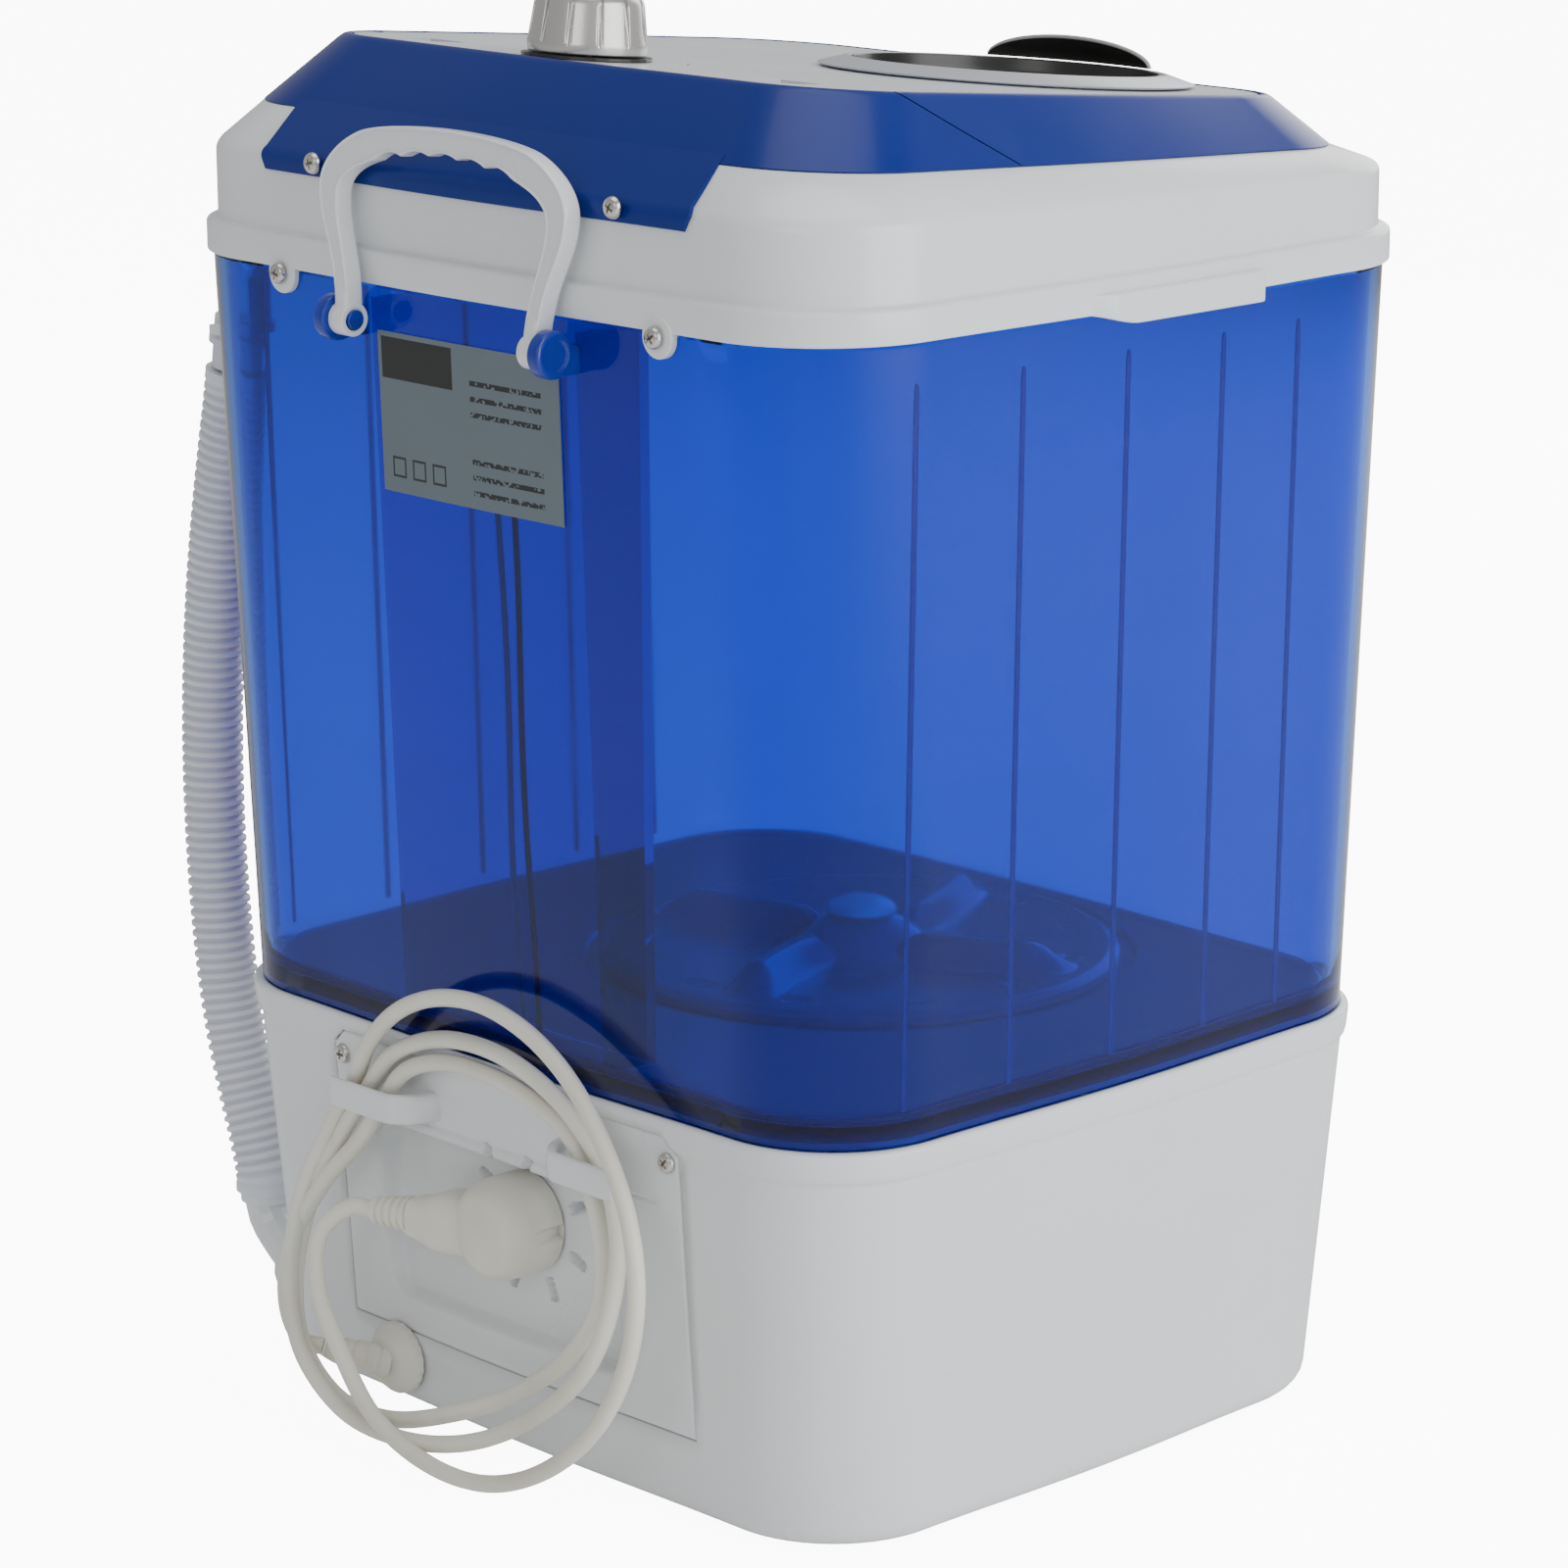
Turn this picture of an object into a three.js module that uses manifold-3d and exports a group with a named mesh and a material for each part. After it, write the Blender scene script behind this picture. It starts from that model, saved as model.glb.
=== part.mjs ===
// A small portable top loading washing machine: a tinted clear tub on a white base, with a
// hinged lid, a wind-up timer, a carrying handle, a belt drive, a drain hose and a mains lead.
// Millimetres, +Z up. The front faces -Y, the rear, with its lead and handle, faces +Y.
// Heights are written from the lower edge of the base; the feet stand below it.
import * as THREE from 'three';
import { mergeVertices } from 'three/addons/utils/BufferGeometryUtils.js';
import Module from 'manifold-3d';

const wasm = await Module();
wasm.setup();

// ---- driving dimensions ----
const gap = 0.3;                 // clearance between neighbouring solids
const tubTopHalfWidth = 189.4;   // tub mouth, half of the width along X
const tubTopHalfDepth = 167.2;   // the same along Y
const rimOverTub = 2;            // how far the rim band stands out from the tub mouth
const footprintHalfWidth = 173.8; // lower edge of the base, half of the width
const footprintHalfDepth = 148.4;
const cornerRadius = 53;         // plan corners at the tub mouth
const crown = 2.8;               // how far the long sides bulge at their middles
const footHeight = 3;
const baseHeight = 162;
const baseWall = 3;
const tubHeight = 300;
const tubWall = 2.6;
const tubFloorRise = 3;          // underside of the tub floor above the tub's lower edge
const tubFloorThickness = 4;
const tubBottomHalfWidth = 183.4;
const tubBottomHalfDepth = 157.5;
const rimHeight = 13;
const rimProud = 3.6;            // how far the rim band stands out from the frame wall
const frameWall = 3;
const creaseHeight = 40;         // top of the upright frame wall above the tub mouth
const creaseSlope = 0.018;
const shoulderInset = 15;        // run of the sloping shoulder
const shoulderRise = 51.6;       // top of the shoulder above the tub mouth
const shoulderSlope = 0.053;
const bezelInset = 20;           // run of the blue chamfer above the shoulder
const deckShift = 6;             // the deck sits this far towards the front
const deckRise = 74.5;           // deck above the tub mouth, at mid depth
const deckSlope = 0.092;         // the deck falls towards the front
const bezelWall = 3;
const deckInsert = 2.6;          // thickness of the white inserts
const seamTopY = 91;             // joint between lid and console, at deck level
const seamLean = 1.42;           // run of the joint along Y for each millimetre of height
const seamGap = 0.9;
const hingeY = 100;
const hingeDrop = 6;             // hinge axis below the deck surface
const hingeX = 100;              // middle of each hinge arm
const hingeArmWidth = 20;
const pinRadius = 1.6;
const knobX = 9;
const knobY = 98.5;
const knobRadius = 23;
const knobTopRadius = 20.6;
const knobHeight = 24;
const apronRadius = 38;          // round nose of the console around the timer
const ringX = -58;               // centre of the round lid window
const ringY = -60;
const ringRadius = 74;
const ringWidth = 13;
const ringRise = 4.5;
const gripRise = 18;             // rise of the thumb hood's dome above the ring
const handleX = 54.5;            // middle of each handle eye
const handleY = 180.5;
const handleDrop = 12;           // handle pivot below the tub mouth
const handleHalfWidth = 70.8;
const handleHeight = 76;
const handleThickness = 9;
const handleLean = 5;            // degrees towards the machine at rest
const eyeRadius = 6.5;
const eyeWidth = 8.4;
const eyePinRadius = 3.9;
const bossRadius = 9;
const ductHalfWidth = 60;
const ductDepth = 27;
const pulsatorY = -37;
const pulsatorRadius = 106;
const shaftRadius = 5;
const drivePulleyRadius = 66;
const motorPulleyRadius = 14;
const motorX = 108;
const motorRadius = 42;
const panelHalfWidth = 103;
const panelBottom = 32.5;
const panelTop = 156;
const panelThickness = 3;
const pocketDepth = 11;
const plugX = -4;
const plugZ = 97;
const plugRadius = 20.5;
const glandX = 72;
const glandZ = 21;
const glandRadius = 15;
const cordDiameter = 7;
const hoseDiameter = 26;
const hoseY = 118;
const screwHeadRadius = 4.2;
const labelWidth = 104;
const labelHeight = 62;

// levels worked out from them
const tubBottomZ = baseHeight + gap;
const tubTopZ = baseHeight + tubHeight;
const tubFloorZ = baseHeight + tubFloorRise + tubFloorThickness;
const rimTopZ = tubTopZ + rimHeight;
const rimHalfWidth = tubTopHalfWidth + rimOverTub;
const rimHalfDepth = tubTopHalfDepth + rimOverTub;
const wallHalfWidth = rimHalfWidth - rimProud;
const wallHalfDepth = rimHalfDepth - rimProud;
const shoulderHalfWidth = wallHalfWidth - shoulderInset;
const shoulderHalfDepth = wallHalfDepth - shoulderInset;
const deckHalfWidth = shoulderHalfWidth - bezelInset - 3;
const deckHalfDepth = shoulderHalfDepth - bezelInset;
const frontReach = rimHalfDepth + crown;
const rearReach = handleY + bossRadius;
const lugWidth = 4;              // how far the lifting lugs stand out from the rim
const lugReach = rimHalfWidth + crown + lugWidth;
const spigotX = footprintHalfWidth + 29.2; // middle of the drain elbow's mouth
const spigotRadius = 9;
const spigotLip = 11;            // radius of the lip at that mouth
const elbowReach = spigotX + spigotLip;
const deckTilt = Math.atan(deckSlope);

const flat = (z) => () => z;
const crease = (x, y) => tubTopZ + creaseHeight + creaseSlope * y;
const shoulder = (x, y) => tubTopZ + shoulderRise + shoulderSlope * y;
const deck = (x, y) => tubTopZ + deckRise + deckSlope * y;
const lowered = (surface, drop) => (x, y) => surface(x, y) - drop;

// ---- finishes ----
const finish = (color, roughness, metalness = 0) =>
  new THREE.MeshStandardMaterial({ color, roughness, metalness });
const whitePlastic = finish(0xe4e8ea, 0.35);
const bluePlastic = finish(0x123a94, 0.22);
const tubPlastic = new THREE.MeshStandardMaterial(
  { color: 0x1f5fd6, roughness: 0.12, transparent: true, opacity: 0.55 });
const silverPlastic = finish(0xb4b6b8, 0.3, 0.6);
const smokedPlastic = finish(0x23262a, 0.2);
const steel = finish(0xb9bcc0, 0.3, 1);
const cream = finish(0xd8d2c0, 0.45);
const rubber = finish(0x1c1d1f, 0.8);
const paintedMetal = finish(0x5c6166, 0.5, 0.6);
const labelFoil = finish(0x5d6d76, 0.4, 0.3);
const hosePlastic = finish(0xd9dde2, 0.5);
const liveWire = finish(0x5b3421, 0.5);
const neutralWire = finish(0x2c4f96, 0.5);

// ---- solids ----
// A closed geometry becomes a manifold solid once its shared corners are one vertex each.
function solid(geometry) {
  const bare = geometry.clone();
  bare.deleteAttribute('normal');
  bare.deleteAttribute('uv');
  const merged = mergeVertices(bare, 1e-4);
  const index = merged.index.array;
  const corners = [0, 1, 2].map(() => new THREE.Vector3());
  const kept = [];
  let volume = 0;
  for (let i = 0; i < index.length; i += 3) {
    const [a, b, c] = [index[i], index[i + 1], index[i + 2]];
    if (a === b || b === c || c === a) continue;
    kept.push(a, b, c);
    corners.forEach((corner, j) => corner.fromBufferAttribute(merged.attributes.position, index[i + j]));
    volume += corners[0].dot(corners[1].cross(corners[2]));
  }
  if (volume < 0) kept.reverse();   // a profile drawn the other way round is inside out
  return new wasm.Manifold(new wasm.Mesh({
    numProp: 3,
    vertProperties: new Float32Array(merged.attributes.position.array),
    triVerts: new Uint32Array(kept),
  }));
}

function geometryOf(body) {
  const mesh = body.getMesh();
  const geometry = new THREE.BufferGeometry();
  geometry.setAttribute('position', new THREE.BufferAttribute(mesh.vertProperties, 3));
  geometry.setIndex(new THREE.BufferAttribute(mesh.triVerts, 1));
  geometry.computeVertexNormals();
  return geometry;
}

function part(name, body, material) {
  const mesh = new THREE.Mesh(geometryOf(body), material);
  mesh.name = name;
  return mesh;
}

const join = (first, ...others) => others.reduce((sum, body) => sum.add(body), first);
const cut = (first, ...others) => others.reduce((rest, body) => rest.subtract(body), first);

function box(x0, x1, y0, y1, z0, z1) {
  const geometry = new THREE.BoxGeometry(x1 - x0, y1 - y0, z1 - z0);
  return solid(geometry.translate((x0 + x1) / 2, (y0 + y1) / 2, (z0 + z1) / 2));
}

// A round bar, or a cone, from one point to another.
function rod(from, to, radius, sides = 16, endRadius = radius) {
  const start = new THREE.Vector3(...from);
  const run = new THREE.Vector3(...to).sub(start);
  const geometry = new THREE.CylinderGeometry(endRadius, radius, run.length(), sides);
  geometry.translate(0, run.length() / 2, 0);
  const turn = new THREE.Quaternion().setFromUnitVectors(
    new THREE.Vector3(0, 1, 0), run.clone().normalize());
  geometry.applyQuaternion(turn).translate(start.x, start.y, start.z);
  return solid(geometry);
}

// A turned piece about the Z axis through (x, y): points are [radius, height].
function turned(points, x = 0, y = 0, sides = 28) {
  const profile = points.map(([r, z]) => new THREE.Vector2(r, z));
  const geometry = new THREE.LatheGeometry(profile, sides);
  geometry.rotateX(Math.PI / 2).translate(x, y, 0);
  return solid(geometry);
}

// A ring of square section about the Z axis.
const ringBody = (inner, outer, z0, z1, x = 0, y = 0, sides = 28) =>
  turned([[inner, z0], [outer, z0], [outer, z1], [inner, z1], [inner, z0]], x, y, sides);

// The plan outline: four rounded corners and four sides of three runs each, whose middle
// runs stand out by the bulge.
function outline(halfWidth, halfDepth, radius, bulge) {
  const shape = new THREE.Shape();
  const bow = 2.25 * bulge;
  const [w, d, r] = [halfWidth, halfDepth, Math.min(radius, halfWidth / 2, halfDepth / 2)];
  shape.moveTo(w, -d + r);
  shape.quadraticCurveTo(w + bow, 0, w, d - r);
  shape.absarc(w - r, d - r, r, 0, Math.PI / 2);
  shape.quadraticCurveTo(0, d + bow, -w + r, d);
  shape.absarc(-w + r, d - r, r, Math.PI / 2, Math.PI);
  shape.quadraticCurveTo(-w - bow, 0, -w, -d + r);
  shape.absarc(-w + r, -d + r, r, Math.PI, 1.5 * Math.PI);
  shape.quadraticCurveTo(0, -d - bow, w - r, -d);
  shape.absarc(w - r, -d + r, r, 1.5 * Math.PI, 2 * Math.PI);
  return shape;
}

// A block that narrows from one plan size to another, between two surfaces. A plan size is
// [half width, half depth, shift along Y].
function block([lowWidth, lowDepth, lowShift = 0], lowSurface,
  [highWidth, highDepth, highShift = 0], highSurface) {
  const scale = lowWidth / tubTopHalfWidth;
  const geometry = new THREE.ExtrudeGeometry(
    outline(lowWidth, lowDepth, cornerRadius * scale, crown * scale),
    { depth: 1, bevelEnabled: false, curveSegments: 3 });
  const position = geometry.attributes.position;
  for (let i = 0; i < position.count; i++) {
    const high = position.getZ(i) > 0.5;
    const x = position.getX(i) * (high ? highWidth / lowWidth : 1);
    const y = high ? position.getY(i) * highDepth / lowDepth + highShift : position.getY(i) + lowShift;
    position.setXYZ(i, x, y, (high ? highSurface : lowSurface)(x, y));
  }
  return solid(geometry);
}

const inset = ([width, depth, shift = 0], by) => [width - by, depth - by, shift];
const footprint = [footprintHalfWidth, footprintHalfDepth];
const tubFoot = [tubBottomHalfWidth, tubBottomHalfDepth];
const tubMouth = [tubTopHalfWidth, tubTopHalfDepth];
const rim = [rimHalfWidth, rimHalfDepth];
const wall = [wallHalfWidth, wallHalfDepth];
const shoulderTop = [shoulderHalfWidth, shoulderHalfDepth];
const deckTop = [deckHalfWidth, deckHalfDepth, -deckShift];

// A flat shape in the YZ plane, carried along X.
function sideProfile(points, x0, x1) {
  const shape = new THREE.Shape(points.map(([y, z]) => new THREE.Vector2(y, z)));
  const geometry = new THREE.ExtrudeGeometry(shape, { depth: x1 - x0, bevelEnabled: false });
  geometry.rotateX(Math.PI / 2).rotateZ(Math.PI / 2).translate(x0, 0, 0);
  return solid(geometry);
}

// A shape drawn in the XZ plane as seen from the front, from y0 back to y1.
function frontProfile(shape, y0, y1, curveSegments = 12) {
  const geometry = new THREE.ExtrudeGeometry(
    shape, { depth: y1 - y0, bevelEnabled: false, curveSegments });
  return solid(geometry.rotateX(Math.PI / 2).translate(0, y1, 0));
}

// A tube of round section along a smooth route.
function tube(points, diameter, steps, sides = 8) {
  const route = new THREE.CatmullRomCurve3(points.map((p) => new THREE.Vector3(...p)),
    false, 'centripetal');
  const section = new THREE.Shape();
  section.absarc(0, 0, diameter / 2, 0, 2 * Math.PI);
  const geometry = new THREE.ExtrudeGeometry(
    section, { steps, extrudePath: route, curveSegments: sides / 2, bevelEnabled: false });
  return solid(geometry);
}

// ---- base ----
const wallDepthAt = (z) => THREE.MathUtils.lerp(
  footprintHalfDepth, tubBottomHalfDepth + 1.5, z / baseHeight);
const baseTop = [tubBottomHalfWidth + 1.5, tubBottomHalfDepth + 1.5];
const baseAt = (z, by) => inset([
  THREE.MathUtils.lerp(footprintHalfWidth, baseTop[0], z / baseHeight), wallDepthAt(z)], by);
const skirt = 9;                 // height of the rounded lower edge of the base
const rearFace = (z) => wallDepthAt(z) + crown;

function panelOutline(grow) {
  const [w, low, high, chamfer] = [
    panelHalfWidth + grow, panelBottom - grow, panelTop + grow, 8];
  return new THREE.Shape([[-w, low], [w, low], [w, high - chamfer], [w - chamfer, high],
    [-w + chamfer, high], [-w, high - chamfer]].map(([x, z]) => new THREE.Vector2(x, z)));
}
const pocketFloor = rearFace(plugZ) - pocketDepth;
const glandHole = (grow) => rod(
  [glandX, rearFace(0) - 30, glandZ], [glandX, rearFace(0) + 40, glandZ], glandRadius + grow, 24);

function baseHousing() {
  const outer = join(
    block(baseAt(0, 7), flat(0), baseAt(skirt, 0), flat(skirt)),
    block(baseAt(skirt, 0), flat(skirt), baseTop, flat(baseHeight)),
    block(inset(baseTop, -1.2), flat(baseHeight - 11), inset(baseTop, -1.2), flat(baseHeight)));
  const inner = join(
    block(baseAt(0, 7 + baseWall), flat(-1), baseAt(skirt, baseWall), flat(skirt)),
    block(baseAt(skirt, baseWall), flat(skirt - 0.1), inset(baseTop, baseWall), flat(baseHeight + 1)));
  const window = frontProfile(panelOutline(gap), wallDepthAt(0) - 25, rearFace(baseHeight) + 20);
  const cordHole = rod([glandX, 100, glandZ], [glandX, 200, glandZ], 7.3, 24);
  const hoseHole = rod([130, hoseY, spigotZ], [220, hoseY, spigotZ], spigotRadius + gap, 24);
  return part('base_housing', cut(outer, inner, window, cordHole, hoseHole), whitePlastic);
}

const spigotZ = 24;

// The removable rear panel: a plate that follows the wall, a pocket for the parked plug,
// two hooks that the lead is wound on, and a ring of cooling slots.
function rearPanel() {
  const plate = (out, into) => cut(
    block(baseAt(0, out), flat(0), inset(baseTop, out), flat(baseHeight)),
    block(baseAt(0, into), flat(-1), inset(baseTop, into), flat(baseHeight + 1)));
  const area = frontProfile(panelOutline(0), 60, 220);
  const pocketArea = (grow, y0) => box(-64 - grow, 78 + grow, y0, 220, 48 - grow, 122 + grow);
  const face = plate(0, panelThickness).intersect(area);
  const pocket = pocketArea(panelThickness, pocketFloor - panelThickness).intersect(
    block(baseAt(0, 0.5), flat(0), inset(baseTop, 0.5), flat(baseHeight)));
  const floorY = pocketFloor;
  const slots = Array.from({ length: 8 }, (_, i) => {
    const angle = (i + 0.5) * Math.PI / 4;
    const slot = new THREE.BoxGeometry(9, 30, 3);
    slot.translate(plugRadius + 8, 0, 0).rotateY(angle).translate(plugX, floorY, plugZ);
    return solid(slot);
  });
  const pinHoles = [-1, 1].map((side) => rod([plugX, floorY - 20, plugZ + side * 9.5],
    [plugX, floorY + 10, plugZ + side * 9.5], 2.4 + gap, 16));
  const hooks = [-1, 1].map((side) => cordHook(side));
  const body = join(cut(join(face, pocket), pocketArea(0, pocketFloor)), ...hooks);
  return part('rear_panel', cut(body, ...slots, ...pinHoles, glandHole(gap),
    ...screwHoles(panelScrewX, panelScrewZ)), whitePlastic);
}

const hookX = [44, 85];          // root and tip of each hook, from the middle
const hookZ = [130, 142];
const hookReach = 17.5;          // room behind each hook arm
const hookArm = 3;

function cordHook(side) {
  const root = wallDepthAt(hookZ[0]) - 1;
  const [near, far] = hookX;
  const inner = root + hookReach;
  const arm = [[near - 9, root], [near, root], [near + 4, inner - 3], [near + 8, inner],
    [far, inner], [far, inner + hookArm], [near + 3, inner + hookArm], [near - 9, root + 7]];
  const shape = new THREE.Shape(arm.map(([x, y]) => new THREE.Vector2(side * x, y)));
  const geometry = new THREE.ExtrudeGeometry(
    shape, { depth: hookZ[1] - hookZ[0], bevelEnabled: false });
  return solid(geometry.translate(0, 0, hookZ[0]));
}

const panelScrewX = 96.5;
const panelScrewZ = 145;
// A pair of holes through the rear wall, one each side of the middle.
const screwHoles = (x, z) => [-1, 1].map(
  (side) => rod([side * x, 120, z], [side * x, 200, z], 1.8, 8));

// A pan head screw that points into the machine; face is the surface that its head sits on.
function screw(name, x, face, z) {
  const head = rod([x, face + gap, z], [x, face + 2.6, z], screwHeadRadius, 14, 3);
  const shank = rod([x, face - 6, z], [x, face + 1, z], 1.5, 8);
  const slot = (turn) => {
    const bar = new THREE.BoxGeometry(4.4, 1.2, 0.9);
    return solid(bar.rotateY(turn).translate(x, face + 2.4, z));
  };
  return part(name, cut(join(head, shank), slot(0.4), slot(0.4 + Math.PI / 2)), steel);
}

function basePlate() {
  const plate = block(baseAt(0, 12), flat(2), baseAt(0, 11), flat(5));
  const vents = [-1, 0, 1].flatMap((row) => [-60, -20, 20, 60].map(
    (x) => box(x - 14, x + 14, row * 22 - 3, row * 22 + 3, 0, 8)));
  return part('base_plate', cut(plate, ...vents), whitePlastic);
}

function foot(name, x, y) {
  const body = turned([[0, -footHeight], [11, -footHeight], [13, -footHeight + 1.2],
    [13, 2 - gap], [0, 2 - gap]], x, y, 24);
  return part(name, body, rubber);
}

// ---- tub ----
const bossZ = tubTopZ - handleDrop;
const rimScrewX = 108;
const rimScrewZ = tubTopZ - 1.5;
const rimFace = rimHalfDepth + crown * 0.7;
const rimScrewHoles = () => screwHoles(rimScrewX, rimScrewZ);
const consoleScrewX = 86;
const consoleScrewZ = tubTopZ + 43;
const consoleScrewHoles = () => screwHoles(consoleScrewX, consoleScrewZ);
const mouthY = (z) => THREE.MathUtils.lerp(
  tubBottomHalfDepth, tubTopHalfDepth, (z - baseHeight) / tubHeight);
const bossStart = handleX + eyeWidth / 2 + gap;
const bossLength = 6;

function outerTub() {
  const shell = block(tubFoot, flat(tubBottomZ), tubMouth, flat(tubTopZ));
  const bore = block(inset(tubFoot, tubWall), flat(tubFloorZ),
    inset(tubMouth, tubWall), flat(tubTopZ + 1));
  const under = block(inset(tubFoot, tubWall), flat(0),
    inset(tubFoot, tubWall), flat(baseHeight + tubFloorRise));
  const recess = rod([0, pulsatorY, tubFloorZ - 1.6], [0, pulsatorY, tubFloorZ + 1],
    pulsatorRadius + 6, 48);
  const shaftHole = rod([0, pulsatorY, 100], [0, pulsatorY, 200], 11, 32);
  const ribs = [-1, 1].flatMap((side) => [117, 64, 10, -43, -87].map((y) => sideProfile(
    [[y - 1.5, tubFloorZ + 4], [y + 1.5, tubFloorZ + 4], [y + 1.5, tubTopZ - 15],
      [y - 1.5, tubTopZ - 15]], ...(side > 0 ? [170, 200] : [-200, -170]))
    .intersect(cut(shell, block(inset(tubFoot, tubWall + 1.2), flat(tubFloorZ - 1),
      inset(tubMouth, tubWall + 1.2), flat(tubTopZ + 1))))));
  const bosses = [-1, 1].flatMap((side) => {
    const at = (x) => [side * x, handleY, bossZ];
    return [
      rod(at(bossStart), at(bossStart + bossLength), bossRadius, 24),
      rod(at(bossStart - eyeWidth - 1.5), at(bossStart + 1), eyePinRadius, 20),
      box(...[side * bossStart, side * (bossStart + bossLength)].sort((a, b) => a - b),
        mouthY(bossZ) - 1, handleY, bossZ - bossRadius, bossZ + 4),
    ];
  });
  const body = cut(join(shell, ...bosses), bore, under, recess, shaftHole);
  return part('outer_tub', cut(join(body, ...ribs), ...rimScrewHoles()), tubPlastic);
}

// A channel down the inside of the rear wall that keeps the wires dry.
function ductCover() {
  const [low, high] = [tubFloorZ + gap, tubTopZ - 6];
  const inner = (z) => mouthY(z) + crown * 0.7 - tubWall - gap;
  const profile = (grow, z0, z1) => sideProfile([
    [inner(z0) - ductDepth + grow, z0], [inner(z0) + (grow ? 5 : 0) - 2.6, z0],
    [inner(z1) + (grow ? 5 : 0) - 2.6, z1], [inner(z0) - ductDepth + grow, z1]],
  -ductHalfWidth + grow, ductHalfWidth - grow);
  return part('duct_cover', cut(profile(0, low, high), profile(tubWall, low - 1, high + 1)),
    tubPlastic);
}

function wire(name, x, material) {
  const y = (z) => mouthY(z) - 14;
  const swing = [0, 2.5, -1.5, 2, -2, 1.5, 0];
  const points = swing.map((s, i) => {
    const z = tubFloorZ + 3 + i * (tubHeight - 30) / 6;
    return [x + s, y(z), z];
  });
  return part(name, tube(points, 2.4, 18, 6), material);
}

function ratingPlate() {
  const lean = Math.atan((rimHalfDepth - tubBottomHalfDepth) / tubHeight);
  const z = tubTopZ - 48;
  const plate = new THREE.BoxGeometry(labelWidth, 0.5, labelHeight);
  plate.rotateX(-lean).translate(-1, mouthY(z) + crown + gap + 0.3, z);
  return part('rating_plate', solid(plate), labelFoil);
}

// ---- top frame ----
const lidOpening = [-126, 126, -116, 34];

// A lifting lug under each side of the rim: a flat tongue with rounded ends.
function sideLug(side) {
  const shape = new THREE.Shape([[-58, -3], [-52, lugWidth], [30, lugWidth], [40, -3]].map(
    ([y, x]) => new THREE.Vector2(side * (rimHalfWidth + crown + x), y - 2)));
  const geometry = new THREE.ExtrudeGeometry(shape, { depth: 12, bevelEnabled: false });
  return solid(geometry.translate(0, 0, tubTopZ - 4));
}

function topFrame() {
  const base = tubTopZ + gap;
  const outer = join(
    block(rim, flat(base), rim, flat(rimTopZ)),
    block(wall, flat(base), wall, crease),
    block(wall, lowered(crease, 0.01), shoulderTop, shoulder));
  const inner = join(
    block(inset(rim, frameWall + 2), flat(base - 1), inset(wall, frameWall + 2), flat(base + 4)),
    block(inset(wall, frameWall), flat(base - 1), inset(wall, frameWall), lowered(crease, frameWall)),
    block(inset(wall, frameWall), lowered(crease, frameWall + 0.01),
      inset(shoulderTop, frameWall), lowered(shoulder, frameWall)));
  const opening = box(...lidOpening, base - 5, 600);
  const timerWell = rod([knobX, knobY, base], [knobX, knobY, 600], 26, 32);
  const tabs = [-1, 1].map((side) => rod([side * rimScrewX, mouthY(tubTopZ) - 1, rimScrewZ],
    [side * rimScrewX, rimFace, rimScrewZ], 8, 24));
  const lugs = [-1, 1].map((side) => sideLug(side));
  const shell = cut(outer, inner, opening, timerWell);
  const hung = cut(join(...tabs), block(inset(tubFoot, -gap), flat(tubBottomZ - 5),
    inset(tubMouth, -gap), flat(tubTopZ + gap)));
  const lifted = cut(join(...lugs),
    block(inset(tubMouth, -gap), flat(base - 20), inset(tubMouth, -gap), flat(base)));
  return part('top_frame', cut(join(shell, hung, lifted), ...rimScrewHoles(),
    ...consoleScrewHoles()), whitePlastic);
}

// ---- console and lid ----
const seamY = (z) => seamTopY + (z - deck(0, seamTopY)) * seamLean;
const hingeZ = deck(0, hingeY) - hingeDrop;

// Everything in front of the leaning joint, short of it by the given gap.
function frontSide(back) {
  const [z0, z1] = [tubTopZ, tubTopZ + 140];
  return sideProfile([[-300, z0], [seamY(z0) - back, z0], [seamY(z1) - back, z1], [-300, z1]],
    -300, 300);
}
const apron = (grow) => rod(
  [knobX, knobY, tubTopZ], [knobX, knobY, tubTopZ + 140], apronRadius + grow, 32);
const lidSide = () => frontSide(seamGap).subtract(apron(seamGap));
const consoleSide = (body) => body.subtract(frontSide(0).subtract(apron(0)));

const clearShoulder = (x, y) => shoulder(x, y) + gap;
const bezelBody = () => block(shoulderTop, clearShoulder, deckTop, deck);
const bezelHollow = () => block(inset(shoulderTop, bezelWall), (x, y) => shoulder(x, y) - 5,
  inset(deckTop, bezelWall), lowered(deck, deckInsert + 3));
const insertSeat = (by, drop) => block(
  inset(deckTop, by), lowered(deck, drop), inset(deckTop, by), (x, y) => deck(x, y) + 5);

function bezelShell() {
  return cut(bezelBody(), bezelHollow(), insertSeat(2, deckInsert + gap), insertSeat(10, 30));
}
const insertPlate = () => block(
  inset(deckTop, 2 + gap), lowered(deck, deckInsert), inset(deckTop, 2 + gap), lowered(deck, 0.4));

function hingeNotch(side) {
  const half = hingeArmWidth / 2 + 0.6;
  return box(side * hingeX - half, side * hingeX + half, 50, hingeY + 5, hingeZ - 6, hingeZ + 30);
}

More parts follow.
